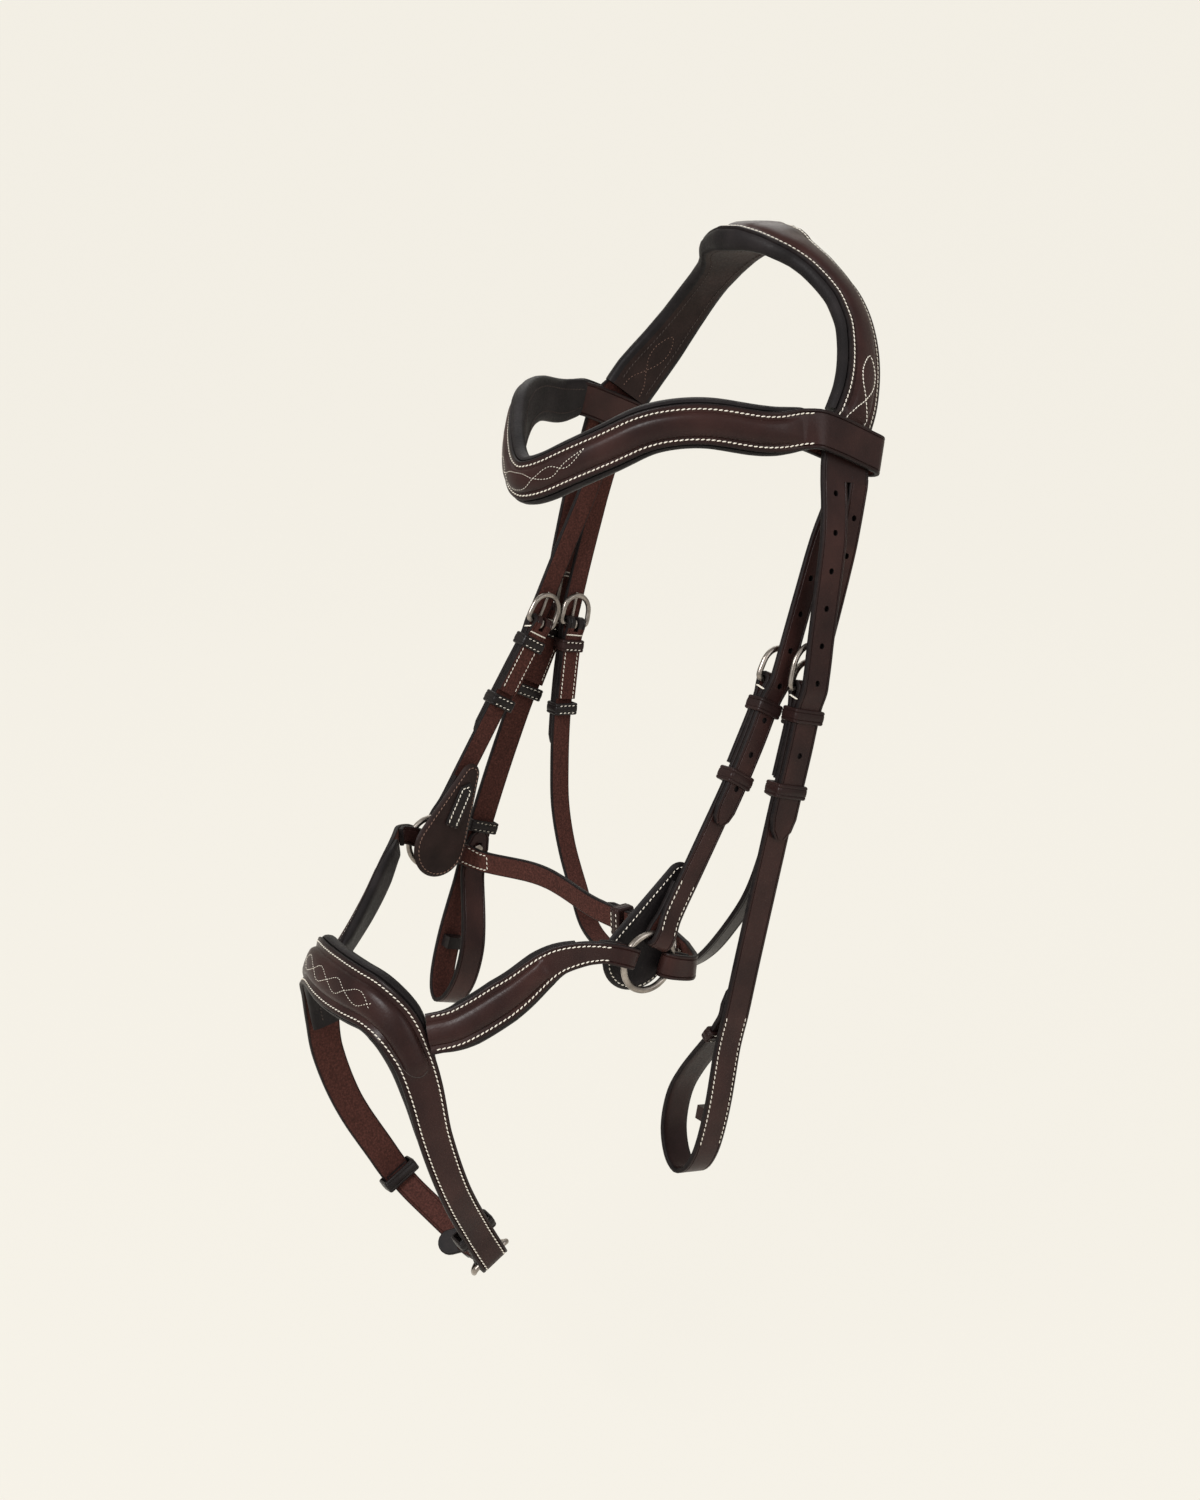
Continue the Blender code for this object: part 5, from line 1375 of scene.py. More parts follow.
def add_throatlatch():
    """The strap under the throat, buckled to a billet on each side."""
    route = throat_route()
    first, last = 2, len(THROAT_X_SHARES) + 1
    holds = {
        "near": Buckled(route, route.mark(first), THROAT_WIDTH),
        "far": Buckled(route, route.mark(last), THROAT_WIDTH, heading=-1),
    }
    tops = {
        "near": route.mark(0) - route.mark(first),
        "far": route.mark(last) - route.mark(last + 2),
    }
    length = route.mark(last) - route.mark(first)
    near = [(CHAPE_END, -LAYER)] + fold(0, -1, FOLD_RADIUS)[::-1]
    track = near + run(FOLD_RUN, length - FOLD_RUN, LAYER, 18)[1:-1]
    track += [(length - a, o) for a, o in reversed(near)]
    form = Form(holds["near"], track, THROAT_WIDTH, flat_section())
    strap = add_mesh("throatlatch_strap", form, LEATHER)
    for side_name, hold in holds.items():
        label = side_name + "_throat_"
        add_billet(label + "billet", hold, tops[side_name] + GAP, THROAT_WIDTH)
        add_frame(label + "buckle", hold, THROAT_WIDTH)
        add_prong(label + "prong", hold)
        cut_prong_slot(strap, hold)
        sew_on_keeper(strap, hold, SEWN_KEEPER_AT, THROAT_WIDTH)
        add_running_keeper(label + "running_keeper", hold, RUNNING_KEEPER_AT, THROAT_WIDTH)


# Browband
LOOP_MIDDLE = (HEAD_OUTER + HEAD_INNER) / 2
LOOP_RADIUS = LAYER + STRAP_THICK + LOOP_ROOM / 2
LOOP_WIDTH = BILLETS_WIDTH + 2 * LOOP_ROOM
BROW_PAD_THICK = 5.5 * MM
BROW_PAD_LEAD = 2.0 * MM
BROW_RISE_RUN = 12.0 * MM
BROW_PAD_STEPS = 48
BROW_PAD_EASE = 5
BROW_PAD_END = 0.55


def brow_route():
    """From the near loop round the brow to the far one, waved and dipped in front."""
    loop = -HEAD_END * BROW_LOOP_SHARE
    frame = HEAD.frame(loop)
    back = HEAD.at(loop, LOOP_MIDDLE, LOOP_WIDTH / 2)
    front = HEAD.at(loop, LOOP_MIDDLE, -LOOP_WIDTH / 2 - STRAP_THICK)
    lead = front + (front - back) * (1 - BROW_LOOP_SHARE)
    places, outs = [back, front, lead], [frame[2], frame[2], frame[2]]
    table = zip(BROW_X_SHARES, BROW_Y_SHARES, BROW_RISE_SHARES, BROW_DIP_SHARES)
    for x, y, rise, dip in reversed(list(table)):
        height = BROW_RISE * rise - BROW_DIP * dip - BROW_LEVEL
        places.append(Vector((BROW_HALF_SPAN * x, -BROW_FORWARD * y, height)))
        outs.append(Vector((x, -y * (1 - x * 0.6), 0)))
    return Route(places + mirrored(places), outs + mirrored(outs), zero=len(places) - 1)


def add_browband():
    """Leather that loops round the strap ends, and the padding behind its front."""
    route = brow_route()
    reach = -route.mark(0)
    loop_run = LOOP_WIDTH + STRAP_THICK
    near = fold(-reach, -1, LOOP_RADIUS, loop_run)
    near[-1] = (near[-1][0], -LAYER * 1.8)
    inner = -reach + loop_run + FOLD_RUN
    front = run(inner + PAD_PROUD, -inner - PAD_PROUD, LAYER, 34)
    track = near[::-1] + front + [(-s, o) for s, o in near]
    sections = [raised_section(min(1, max(0, (-inner - abs(s)) / BROW_RISE_RUN))) for s, _ in track]
    add_mesh("browband_leather", Form(route, track, BROW_HEIGHT, sections), LEATHER)
    height = LAYER - STRAP_THICK / 2 - PAD_GAP - BROW_PAD_THICK / 2
    pad_start = inner - FOLD_RUN + BROW_PAD_LEAD
    track = run(pad_start, -pad_start, height, BROW_PAD_STEPS)
    ease = [min(1, min(i, BROW_PAD_STEPS - i) / BROW_PAD_EASE) for i in range(BROW_PAD_STEPS + 1)]
    widths = [BROW_HEIGHT + (BROW_PAD_HEIGHT - BROW_HEIGHT) * (e * (2 - e)) for e in ease]
    thicks = [BROW_PAD_THICK * (BROW_PAD_END + (1 - BROW_PAD_END) * e) for e in ease]
    padding = Form(route, track, widths, [padded_section(thick) for thick in thicks])
    add_mesh("browband_padding", padding, PADDING)


# Noseband
NOSE_CREST = 72.0 * MM
NOSE_PAD_FAR = 20.0 * MM
NOSE_PAD_EASE = 14
NOSE_PAD_END = 0.84
NOSE_PAD_THICK = 5.5 * MM
NOSE_PAD_STEPS = 44
NOSE_PAD_END_THICK = 0.4
NOSE_RAISE = 1.15
NOSE_SIDE_RAISE = 0.12
NOSE_CREST_IN = 2.0 * MM
NOSE_TURN_SHARES = (0, 0.13, 0.34, 0.6, 0.82, 0.93, 0.98, 0.98, 0.98, 0.98)


def nose_places():
    """The nosepiece's places from its crest down the near side, and which way it faces."""
    near, outs = [], []
    for x, y, z, turn in zip(NOSE_X_SHARES, NOSE_Y_SHARES, NOSE_Z_SHARES, NOSE_TURN_SHARES):
        forward, height = NOSE_BACK * y - NOSE_FRONT, -NOSE_TOP - NOSE_DEPTH * z
        near.append(Vector((NOSE_HALF_WIDTH * x, forward, height)))
        outs.append(Vector((turn, 0, 0)) + NOSE_FACE * (1 - turn))
    return near, outs


def nose_route():
    """Once round the nose and chin and a little more: the near arm comes twice."""
    near, outs = nose_places()
    end = near[-1]
    under = Vector((0, 0, -1))
    under = under - ARM_AHEAD * under.dot(ARM_AHEAD)
    inward, drop = CHIN_TURN
    chin = [end + Vector((-end.x * inward, 0, 0)) + under * (CHIN_DROP * drop)]
    chin.append(Vector((0, end.y, end.z)) + under * CHIN_DROP * CHIN_LOW)
    chin_outs = [Vector((CHIN_FACING, 0, 0)) + under, under]
    round_chin = chin + mirrored(chin)
    round_outs = chin_outs + mirrored(chin_outs)
    far = [Vector((-p.x, p.y, p.z)) for p in near]
    far_outs = [Vector((-p.x, p.y, p.z)) for p in outs]
    places = near[-3:] + round_chin + far[::-1] + near[1:] + chin
    all_outs = outs[-3:] + round_outs + far_outs[::-1] + outs[1:] + chin_outs
    return Route(places, all_outs, zero=5 + len(near))


NOSE = nose_route()
NOSE_COUNT = len(NOSE_X_SHARES)
NOSE_APEX = 5 + NOSE_COUNT


def nose_widths(marks, shares):
    """Widths from the shares at the noseband's own places."""
    known = [NOSE.mark(NOSE_APEX + i) for i in range(len(shares))]
    return sizes_at(marks, known, shares, NOSE_BAND)


def add_noseband():
    """The nosepiece and its arms, its padding and the strap under the chin."""
    near_end = NOSE.mark(NOSE_APEX + NOSE_COUNT - 1)
    far_end = NOSE.mark(NOSE_APEX - NOSE_COUNT + 1)
    pad_end = NOSE.mark(NOSE_APEX + len(NOSE_PAD_SHARES) - 1)
    arm = run(pad_end, near_end - FOLD_RUN, LAYER, 9)[1:-1]
    middle = run(-pad_end, pad_end, LAYER, 44)
    track = run(far_end, -pad_end, LAYER, 8)[:-1] + middle + arm
    track += fold(near_end, 1, FOLD_RADIUS)
    track += [(s, -LAYER) for s, _ in reversed(arm) if s > near_end - CHAPE_END * 0.6]
    widths = nose_widths([s for s, _ in track], NOSE_WIDTH_SHARES)
    crest = NOSE_CREST - NOSE_CREST_IN
    raises = [NOSE_RAISE if abs(s) < crest else NOSE_SIDE_RAISE * (abs(s) < pad_end) for s, _ in track]
    add_mesh("nose_leather", Form(NOSE, track, widths, [raised_section(r) for r in raises]), LEATHER)
    height = LAYER - STRAP_THICK / 2 - PAD_GAP - NOSE_PAD_THICK / 2
    track = run(NOSE_PAD_FAR - pad_end, pad_end, height, NOSE_PAD_STEPS)
    ease = [min(1, min(i, NOSE_PAD_STEPS - i) / NOSE_PAD_EASE) for i in range(NOSE_PAD_STEPS + 1)]
    marks = [s for s, _ in track]
    ends = [w * NOSE_PAD_END for w in nose_widths(marks, NOSE_WIDTH_SHARES)]
    full = nose_widths(marks, NOSE_PAD_SHARES)
    widths = [w + (p - w) * e for w, p, e in zip(ends, full, ease)]
    thicks = [NOSE_PAD_THICK * (NOSE_PAD_END_THICK + (1 - NOSE_PAD_END_THICK) * e) for e in ease]
    padding = Form(NOSE, track, widths, [padded_section(thick) for thick in thicks])
    add_mesh("nose_padding", padding, PADDING)
    wide = NOSE_BAND * NOSE_WIDTH_SHARES[-1]
    hold = Buckled(NOSE, NOSE.mark(2), wide, heading=-1, face=-1)
    add_frame("chin_buckle", hold, wide)
    add_prong("chin_prong", hold)
    overlap = -(far_end - NOSE.mark(2)) - FOLD_RUN
    start = [(overlap, LAYER * 2)]
    start += run(overlap + FOLD_RUN, -hold.reach - FOLD_RUN, BILLET_OVER_FRAME / 2, 8)
    start.append((-hold.reach - 2 * WIRE_RADIUS, BILLET_OVER_FRAME))
    start.append((-hold.reach, BILLET_OVER_FRAME))
    add_billet("chin_strap", hold, 0, CHIN_WIDTH, tail=CHIN_TAIL, start=start)
    side_of = LAYER + STRAP_THICK / 2
    bm = band(hold, overlap + KEEPER_HEIGHT * 0.6, -side_of, side_of + 2 * LAYER, wide + LAYER)
    add_mesh("far_chin_keeper", bm, LEATHER)
    inside = -LAYER - STRAP_THICK / 2 + GAP + KEEPER_WALL * 1.25
    bm = band(hold, CHAPE_END * 0.5, inside, BILLET_OVER_STRAP + STRAP_THICK / 2, wide + STRAP_THICK)
    add_mesh("near_chin_keeper", bm, LEATHER)


# Front branches
def branch_route(side):
    """From the ring's front, bowed out round the face, to the side of the nosepiece."""
    start = ring_centre(side) + ring_arm(BRANCH_ANGLE)
    lead = start + ring_arm(BRANCH_ANGLE) * 0.25
    places, outs = [start, lead], [Vector((side, 0, 0))] * 2
    for x, y, z in zip(BRANCH_X_SHARES, BRANCH_Y_SHARES, BRANCH_Z_SHARES):
        away = Vector((-side * BRANCH_INWARD * x, -BRANCH_FORWARD * y, -BRANCH_FALL * z))
        places.append(start + away)
        outs.append(Vector((side, -BRANCH_FACING[0] * x, BRANCH_FACING[1] * x)))
    return Route(places, outs)


def add_branch(side_name, side):
    """A front branch from its ring to the nosepiece, and the padding behind it."""
    route = branch_route(side)
    end = route.mark(len(BRANCH_X_SHARES) + 1)
    foot = fold(0, -1, RING_FOLD, RING_WIRE, BRANCH_SLACK)[::-1]
    lead = foot[-1][0]
    track = [(BRANCH_RETURN, -LAYER)] + foot
    widths = [BRANCH_WIDTH] * len(track)
    shares = [i / BRANCH_STEPS for i in range(1, BRANCH_STEPS + 1)]
    spread = [
        BRANCH_WIDTH + (BRANCH_WIDE - BRANCH_WIDTH) * min(share / BRANCH_WIDENED, 1) for share in shares
    ]
    track += [(lead + (end - lead) * share, LAYER) for share in shares]
    sections = [raised_section(0)] * (len(widths) + BRANCH_FLAT_STEPS)
    sections += [raised_section()] * (BRANCH_STEPS - BRANCH_FLAT_STEPS)
    add_mesh(side_name + "_front_branch", Form(route, track, widths + spread, sections), LEATHER)
    height = LAYER - STRAP_THICK / 2 - GAP - BRANCH_PAD_THICK / 2
    padded = slice(-BRANCH_PAD_STEPS - 1, -1)
    track = [(s, height) for s, _ in track[padded]]
    ease = [min(1, i / 4, (BRANCH_PAD_STEPS - 1 - i) / 3) for i in range(BRANCH_PAD_STEPS)]
    widths = [width + BRANCH_PROUD * 2 * e for width, e in zip(spread[padded], ease)]
    thicks = [BRANCH_PAD_THICK * (BRANCH_PAD_END + (1 - BRANCH_PAD_END) * e) for e in ease]
    padding = Form(route, track, widths, [padded_section(thick) for thick in thicks])
    add_mesh(side_name + "_branch_padding", padding, PADDING)


# Jaw strap
JAW_SLACK = 1.6 * MM
JAW_CHAPE_SHARE = 0.7
JAW_KEEPER_SHARE = 0.8


def jaw_route():
    """Back from the near ring, across behind the jaw and forward to the far one."""
    halves = []
    low = Vector((0, RING_CENTRE.y + RING_RADIUS + JAW_BACK, RING_CENTRE.z - JAW_SAG))
    for side, angle in JAW_ANGLES.items():
        arm = ring_arm(angle).normalized()
        start = ring_centre(side) + ring_arm(angle)
        half = [start, start + arm * (JAW_BACK * JAW_STRAIGHT_SHARE)]
        half.append(start + arm * (JAW_BACK * JAW_TURN_SHARE) - Vector((side * JAW_TURN, 0, 0)))
        half.append(Vector((start.x * 0.5, low.y, (low.z * 3 + start.z) / 4)))
        halves.append(half)
    near, far = halves
    side, back = Vector((1, 0, 0)), Vector((0, 1, 0))
    outs = [side, side, side + back, back, back]
    return Route(near + [low] + far[::-1], outs + mirrored(outs))


def add_jaw_strap():
    """A short billet from the near ring and a buckled strap from the far one."""
    route = jaw_route()
    length = route.mark(8)
    hold = Buckled(route, JAW_BUCKLE_AT, JAW_WIDTH)
    first = -JAW_BUCKLE_AT
    lead = fold(first, -1, RING_FOLD, RING_WIRE, JAW_SLACK)[::-1]
    turns = run(lead[-1][0], -hold.reach - 2 * WIRE_RADIUS, BILLET_OVER_FRAME, 6)
    rise = BILLET_OVER_FRAME - LAYER
    lead += [(s, LAYER + rise * i / 6) for i, (s, _) in enumerate(turns)][1:]
    lead.append((-hold.reach, BILLET_OVER_FRAME))
    add_billet("jaw_billet", hold, 0, JAW_WIDTH, tail=JAW_TAIL, start=lead)
    add_frame("jaw_buckle", hold, JAW_WIDTH)
    add_prong("jaw_prong", hold)
    foot = fold(length + first, 1, RING_FOLD, RING_WIRE, JAW_SLACK)
    track = [(CHAPE_END * JAW_CHAPE_SHARE, -LAYER)] + fold(0, -1, FOLD_RADIUS)[::-1]
    track += run(FOLD_RUN, foot[0][0], LAYER, 18)[1:-1] + foot
    strap = add_mesh("jaw_strap", Form(hold, track, JAW_WIDTH, flat_section()), LEATHER)
    cut_prong_slot(strap, hold)
    sew_on_keeper(strap, hold, SEWN_KEEPER_AT, JAW_WIDTH)
    add_running_keeper("jaw_running_keeper", hold, RUNNING_KEEPER_AT * JAW_KEEPER_SHARE, JAW_WIDTH)


# Sewn rows and figures
EDGE_ROW = 2.4 * MM
CHAPE_ROW = 1.9 * MM
PAD_END_ROW = 4.0 * MM
HEAD_PAD_ROW = 6.2 * MM
BROW_PAD_ROW = 5.4 * MM
NOSE_PAD_ROW = 5.6 * MM
BRANCH_ROW = 2.0 * MM
FINE = 0.5
FINE_PITCH = 1.7 * MM
HEAD_PITCH = 2.0 * MM
BAR_PITCH = 1.3 * MM
# Sewn figures, in millimetres along the strap and across it
HEAD_FIGURE = (
    (-3, -6.6), (4, -5.0), (12, 0), (20, 4.2), (28, 4.6), (36, 0), (28, -4.6), (20, -4.2), (12, 0),
    (4, 5.0), (-3, 6.6),
)
BROW_FIGURE = (
    (-43, 4), (-31, 1.2), (-22, -2.6), (-12, 0), (-6, 3.4), (0, 4.2), (6, 3.4), (12, 0), (22, -2.6),
    (31, 1.2), (43, 4),
)
BROW_FIGURE_ENDS = 40
NOSE_FIGURE = (
    (-33, -1.5), (-26, 3.8), (-16, 0), (-9, -3.8), (0, 0), (9, 3.8), (16, 0), (26, -3.8), (34, 1.5),
)
# Painted shade: dark beads drawn tight round each end of the raised crest, for the shade along its
# embossed edge
NOSE_CREST_SHADE = ((54, 7.2), (64, 7.0), (71, 5.6), (75, 2.4), (76, -1.0), (74.5, -4.2))
CREST_SHADE_PITCH = 0.9 * MM
HEAD_LINING_IN = 5
# Rows on the returns, as the distances of their ends from the end of the strap
HANGER_ROWS = ((20.0 * MM, 2.0 * MM), (72.0 * MM, 42.0 * MM))
CHEEK_ROW = (209.0 * MM, 139.0 * MM)
JAW_ROW = (52.0 * MM, 31.0 * MM)
KEEPER_ROW = (-0.46, 0, 0.46)


def sew_padding(pad, body, inset):
    """The dark row that holds a pad's lining, on its inner face."""
    row(pad, body, inset, PAD_END_ROW, pad.walk[-1] - PAD_END_ROW, under=True, look=DARK)


def sew_headpiece():
    """Rows along the crown and its lining, and a looped figure at each end."""
    form, pad = FORMS["headpiece_leather"], FORMS["headpiece_padding"]
    body = "headpiece"
    start, end = form.walk_of(-HEAD_PAD_END), form.walk_of(HEAD_PAD_END)
    row(form, body, EDGE_ROW, start - PAD_END_ROW, end + PAD_END_ROW)
    for at, way in ((start, 1), (end, -1)):
        points = [(at + way * a * MM, w * MM) for a, w in HEAD_FIGURE]
        figure(form, body, points, size=0.8, pitch=HEAD_PITCH)
    sew_padding(pad, body, HEAD_PAD_ROW)
    for at, way in ((0, 1), (pad.walk[-1], -1)):
        points = [(at + way * (a + HEAD_LINING_IN) * MM, w * MM) for a, w in HEAD_FIGURE]
        figure(pad, body, points, True, TAN, HEAD_PITCH, FINE)


def sew_browband():
    """Rows along the browband and two crossing waves over its middle."""
    form, pad = FORMS["browband_leather"], FORMS["browband_padding"]
    body = "browband"
    middle = form.walk_of(0)
    reach = pad.walk[-1] / 2 + 2 * PAD_END_ROW
    row(form, body, EDGE_ROW, middle - reach, middle + reach)
    for flip in (1, -1):
        points = []
        for a, w in BROW_FIGURE:
            points.append((middle + a * MM, (flip * w if abs(a) < BROW_FIGURE_ENDS else w) * MM))
        figure(form, body, points, size=FINE, pitch=FINE_PITCH)
    sew_padding(pad, body, BROW_PAD_ROW)


def sew_noseband():
    """Rows along the nosepiece, crossing waves over it, and painted shade in dark beads round each
    crest end.
    """
    form, pad = FORMS["nose_leather"], FORMS["nose_padding"]
    apex = form.walk_of(0)
    body = "noseband"
    row(form, body, EDGE_ROW, 6 * MM, form.walk_of(NOSE.mark(NOSE_APEX + NOSE_COUNT - 1)))
    for flip in (1, -1):
        points = [(apex + a * MM, flip * w * MM) for a, w in NOSE_FIGURE]
        figure(form, body, points, size=FINE, pitch=FINE_PITCH)
    # Dark beads, drawn tight, as painted shade along the embossed end of the crest on each side
    for way in (-1, 1):
        points = [(apex + way * a * MM, w * MM) for a, w in NOSE_CREST_SHADE]
        figure(form, body, points, False, DARK, CREST_SHADE_PITCH, 0.8)
    sew_padding(pad, body, NOSE_PAD_ROW)


TAB_LONG = 15.0 * MM
CHIN_TAB_AT = 62.0 * MM
CHIN_TAB_AHEAD = Vector((-0.56, -0.78, -0.28)).normalized()
CHIN_TAB_FACING = Vector((0.5, -0.5, 0.7))


def add_chin_tab(form):
    """The rounded black end of the chin strap, which stands out below the near arm."""
    place = form.near(CHIN_TAB_AT).place
    ahead = CHIN_TAB_AHEAD
    normal = (CHIN_TAB_FACING - ahead * CHIN_TAB_FACING.dot(ahead)).normalized()
    across = normal.cross(ahead)
    half = CHIN_WIDTH / 2
    outline = [place - ahead * half - across * half, place - ahead * half + across * half]
    for k in range(ROUND_STEPS // 2 + 1):
        turn = math.pi * (0.5 - k / (ROUND_STEPS // 2))
        reach = TAB_LONG - half + half * math.cos(turn)
        outline.append(place + ahead * reach + across * (half * math.sin(turn)))
    bm = solid([outline, [p + normal * STRAP_THICK for p in outline]])
    EXTRAS.append((finish_mesh("chin_strap_tab", bm, (EDGE,), MM / 2), "chin_strap"))


def sew_branches():
    for side_name, _ in SIDES:
        form = FORMS[side_name + "_front_branch"]
        row(form, "noseband", BRANCH_ROW, form.walk_of(9 * MM), form.walk[-1] - MM)


def bar(form, body, at, width):
    """A short thick bar of thread across a strap."""
    half = width / 2 - CHAPE_ROW / 2
    figure(form, body, [(at, -half), (at, 0), (at, half)], False, CREAM, BAR_PITCH, 1.1)


def edge_bar(form, body, at):
    """A thick bar of thread over both edges of a fold, just below its buckle."""
    there = form.near(at)
    heights = (STRAP_THICK / 2, -LAYER, -2 * LAYER - STRAP_THICK / 2)
    for side in (-1, 1):
        edge = there.place + there.across * (side * (there.width / 2 + STITCH_RISE / 4))
        line = [(edge + there.out * height, there.across * side) for height in heights]
        sew(body, line, CREAM, BAR_PITCH, 1.25)


def sew_chapes():
    """The two cream rows on each folded chape, and the bar below its buckle."""
    for name, body, width in (
        ("near_cheek_strap", "near_cheek", CHEEK_WIDTH), ("far_cheek_strap", "far_cheek", CHEEK_WIDTH),
        ("near_hanger_strap", "headpiece", HANGER_WIDTH),
        ("far_hanger_strap", "headpiece", HANGER_WIDTH), ("jaw_strap", "jaw_strap", JAW_WIDTH),
        ("throatlatch_strap", "throatlatch", THROAT_WIDTH),
    ):
        form = FORMS[name]
        reach = CHAPE_END * (JAW_CHAPE_SHARE if name == "jaw_strap" else 1)
        spans = [(0, reach - 8 * MM)]
        bars = [reach - 6 * MM, form.walk_of(FOLD_RUN * 0.8)]
        if name == "throatlatch_strap":
            spans.append((form.walk[-1] - reach + 8 * MM, form.walk[-1]))
            bars.append(form.walk[-1] - reach + 6 * MM)
        for start, end in spans:
            row(form, body, CHAPE_ROW, start + MM, end)
        for at in bars:
            bar(form, body, at, width)
        edge_bar(form, body, bars[1] - 2 * MM)


def sew_returns():
    """The stitched rows where a strap comes back from its ring or its bit loop."""
    for side_name, _ in SIDES:
        form = FORMS[side_name + "_hanger_strap"]
        for start, end in HANGER_ROWS:
            row(form, "headpiece", CHAPE_ROW, form.walk[-1] - start, form.walk[-1] - end)
        form = FORMS[side_name + "_cheek_strap"]
        start, end = (form.walk[-1] - at for at in CHEEK_ROW)
        row(form, side_name + "_cheek", CHAPE_ROW, start, end)
    form = FORMS["jaw_strap"]
    start, end = (form.walk[-1] - at for at in JAW_ROW)
    row(form, "jaw_strap", CHAPE_ROW, start, end, under=True)
    half = JAW_WIDTH / 2 - CHAPE_ROW
    for at in (start, end):
        figure(form, "jaw_strap", [(at, -half), (at, 0), (at, half)], True)


def sew_keepers():
    """Double rows on the inner face of the keepers."""
    bodies = dict(NODE_BODY)
    for made, node in EXTRAS:
        bodies[made.name] = NODE_BODY[node]
    for name, (place, ahead, out, across, width, low) in KEEPER_FRAMES.items():
        if "chin" in name or name not in bodies:
            continue
        for step in (-1, 1):
            middle = place + ahead * (step * KEEPER_HEIGHT * 0.3) + out * (low - STITCH_RISE / 4)
            line = [(middle + across * (width * share), -out) for share in KEEPER_ROW]
            sew(bodies[name], line, size=0.8)


# Staging
FLOOR_LEVEL = -0.66
FLOOR_NEAR, FLOOR_FAR = -6.0, 2.2
FLOOR_HALF = 7
CURVE_RADIUS = 1.6
CURVE_TURNS = (0.3, 0.6, 0.9, 1.2, 1.5)
BACKDROP_TOP = 6.0
PALE = "#f6f2e8"
WORLD_STRENGTH = 0.42
GLOSSY_SHARE = 0.2
FLOOR_GLOW = 0.93
LIGHTS = (
    ("key", (0.5, -2.0, 1.3), 44.0, 0.8),
    ("fill", (2.0, 0.3, 0.7), 12.0, 1.4),
    ("back", (-1.6, 0.9, 1.4), 12.0, 1.6),
)
LIGHTS_AIM = Vector((0, -0.1, -0.25))
CAMERA_PLACE = Vector((0.7488, -0.6173, 0.0193))
CAMERA_AZIMUTH = math.radians(55.32)
CAMERA_RISE = math.radians(16.64)
CAMERA_LENS = 43.2
CAMERA_SENSOR = 36.0
CAMERA_CLIP = (0.02, 60.0)
SHARP_ANGLE = math.radians(52)


def seen_rays(tree):
    """One for the rays that see the background: the camera's, and those from metal."""
    path = add_node(tree, "LightPath").outputs
    value = path["Is Camera Ray"]
    for name, share in (("Is Glossy Ray", GLOSSY_SHARE), ("Is Transmission Ray", 1.0)):
        part = add_node(tree, "Math", {"operation": "MULTIPLY"}, i0=path[name], i1=share).outputs[0]
        value = add_node(tree, "Math", {"operation": "MAXIMUM"}, i0=value, i1=part).outputs[0]
    return value


def mix_seen(tree, plain, shown, target, share=1.0):
    """Show one shader to the seeing rays and the plain one to the others."""
    seen = add_node(tree, "Math", {"operation": "MULTIPLY"}, i0=seen_rays(tree), i1=share).outputs[0]
    tree.links.new(add_node(tree, "MixShader", i0=seen, i1=plain, i2=shown).outputs[0], target)


def floor_look():
    """Pale painted board, which shows the camera little of the shadows that fall on it."""
    stops = ((0.2, "#f3efe5"), (0.8, "#f5f1e7"))
    look = Look("pale_floor", ("noise", 1.667, 1.0), stops, 0.9, specular=0.05)
    glow = look.add("Emission", Color=srgb(PALE), Strength=1.0).outputs[0]
    output = look.tree.nodes["Material Output"].inputs["Surface"]
    mix_seen(look.tree, look.shader.outputs[0], glow, output, FLOOR_GLOW)
    return look.made


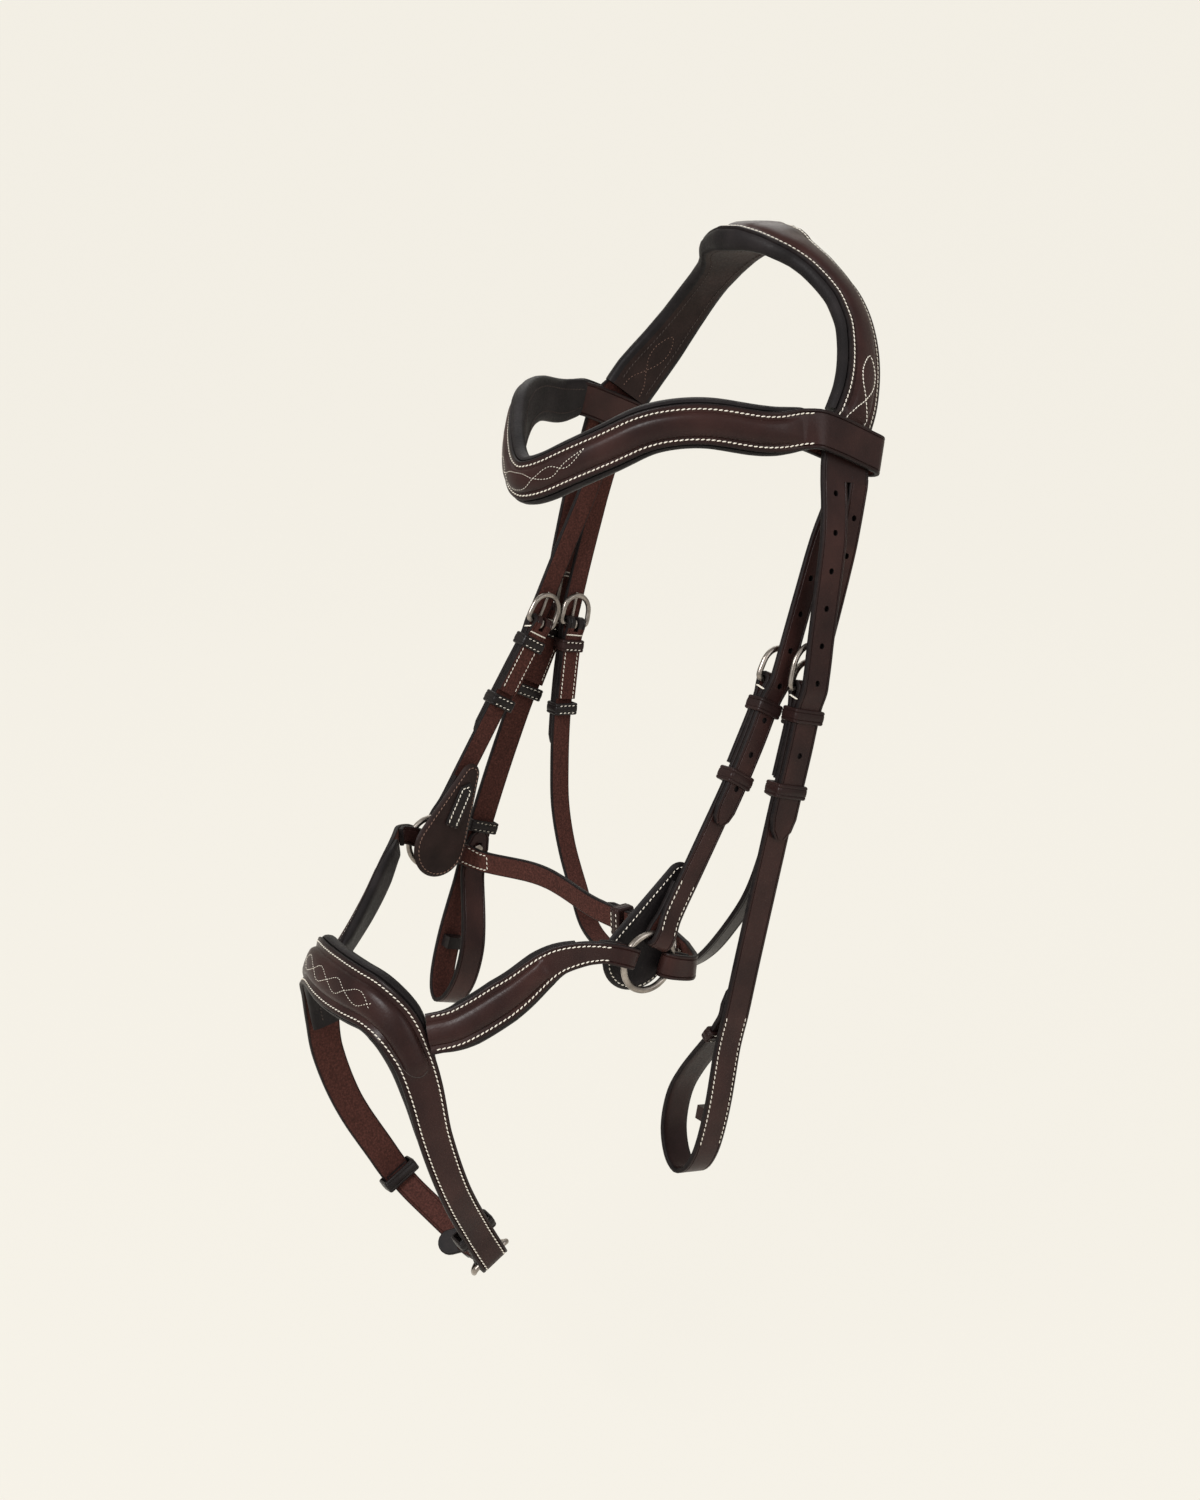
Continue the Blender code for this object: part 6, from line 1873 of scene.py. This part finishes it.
def add_stage():
    """A pale floor that curves up into a backdrop, soft lights and a pale world."""
    away = Vector((-math.sin(CAMERA_AZIMUTH), math.cos(CAMERA_AZIMUTH), 0))
    side = Vector((away.y, -away.x, 0))
    profile = [(FLOOR_NEAR, 0.0), (FLOOR_FAR, 0.0)]
    for turn in CURVE_TURNS:
        rise = CURVE_RADIUS - CURVE_RADIUS * math.cos(turn)
        profile.append((FLOOR_FAR + CURVE_RADIUS * math.sin(turn), rise))
    profile.append((FLOOR_FAR + CURVE_RADIUS, BACKDROP_TOP))
    bm = bmesh.new()
    verts = [
        bm.verts.new(away * d - side * FLOOR_HALF + Vector((0, 0, FLOOR_LEVEL + z))) for d, z in profile
    ]
    edges = [bm.edges.new(pair) for pair in zip(verts, verts[1:])]
    made = bmesh.ops.extrude_edge_only(bm, edges=edges)["geom"]
    moved = [item for item in made if isinstance(item, bmesh.types.BMVert)]
    bmesh.ops.translate(bm, verts=moved, vec=side * (2 * FLOOR_HALF))
    floor = finish_mesh("floor", bm, (floor_look(),))
    floor.data.shade_smooth()
    world = bpy.context.scene.world or bpy.data.worlds.new("world")
    bpy.context.scene.world = world
    world.use_nodes = True
    tree = world.node_tree
    plain = tree.nodes["Background"]
    plain.inputs["Color"].default_value = srgb("#fbf8f2")
    plain.inputs["Strength"].default_value = WORLD_STRENGTH
    shown = add_node(tree, "Background", Color=srgb(PALE)).outputs[0]
    mix_seen(tree, plain.outputs[0], shown, tree.nodes["World Output"].inputs["Surface"])
    for name, place, power, size in LIGHTS:
        data = bpy.data.lights.new(name, "AREA")
        data.energy, data.size = power, size
        lamp = bpy.data.objects.new(name, data)
        lamp.location = place
        lamp.rotation_mode = "QUATERNION"
        lamp.rotation_quaternion = (Vector(place) - LIGHTS_AIM).to_track_quat("Z", "Y")
        bpy.context.collection.objects.link(lamp)
    bpy.context.scene.view_settings.view_transform = "Standard"


def add_camera():
    """The photo's view: from the near front, a little above."""
    data = bpy.data.cameras.new("camera")
    data.lens, data.sensor_width = CAMERA_LENS, CAMERA_SENSOR
    data.clip_start, data.clip_end = CAMERA_CLIP
    camera = bpy.data.objects.new("camera", data)
    a, e = CAMERA_AZIMUTH, CAMERA_RISE
    back = Vector((math.sin(a) * math.cos(e), -math.cos(a) * math.cos(e), math.sin(e)))
    camera.location = CAMERA_PLACE
    camera.rotation_mode = "QUATERNION"
    camera.rotation_quaternion = back.to_track_quat("Z", "Y")
    bpy.context.collection.objects.link(camera)
    bpy.context.scene.camera = camera


def smooth_by_angle(made):
    """Smooth shading, with the corners over a set angle kept sharp."""
    made.data.shade_smooth()
    made.data.set_sharp_from_angle(angle=SHARP_ANGLE)


def main():
    """Build the pieces, tie them to their bodies, sew them and set the stage."""
    add_camera()
    add_headpiece()
    add_browband()
    for side_name, side in SIDES:
        add_cheek(side_name, side)
        add_hanger(side_name, side)
        add_ring(side_name, side)
        add_ring_pad(side_name, side)
    add_throatlatch()
    add_noseband()
    for side_name, side in SIDES:
        add_branch(side_name, side)
    add_jaw_strap()
    add_chin_tab(FORMS["chin_strap"])
    cut_all()
    for name, made in PIECES.items():
        smooth_by_angle(made)
        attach(made, NODE_BODY[name])
        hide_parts(name)
    for made, node in EXTRAS:
        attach(made, NODE_BODY[node])
    sew_headpiece()
    sew_browband()
    sew_noseband()
    sew_branches()
    sew_chapes()
    sew_returns()
    sew_keepers()
    add_stitches()
    add_stage()


main()
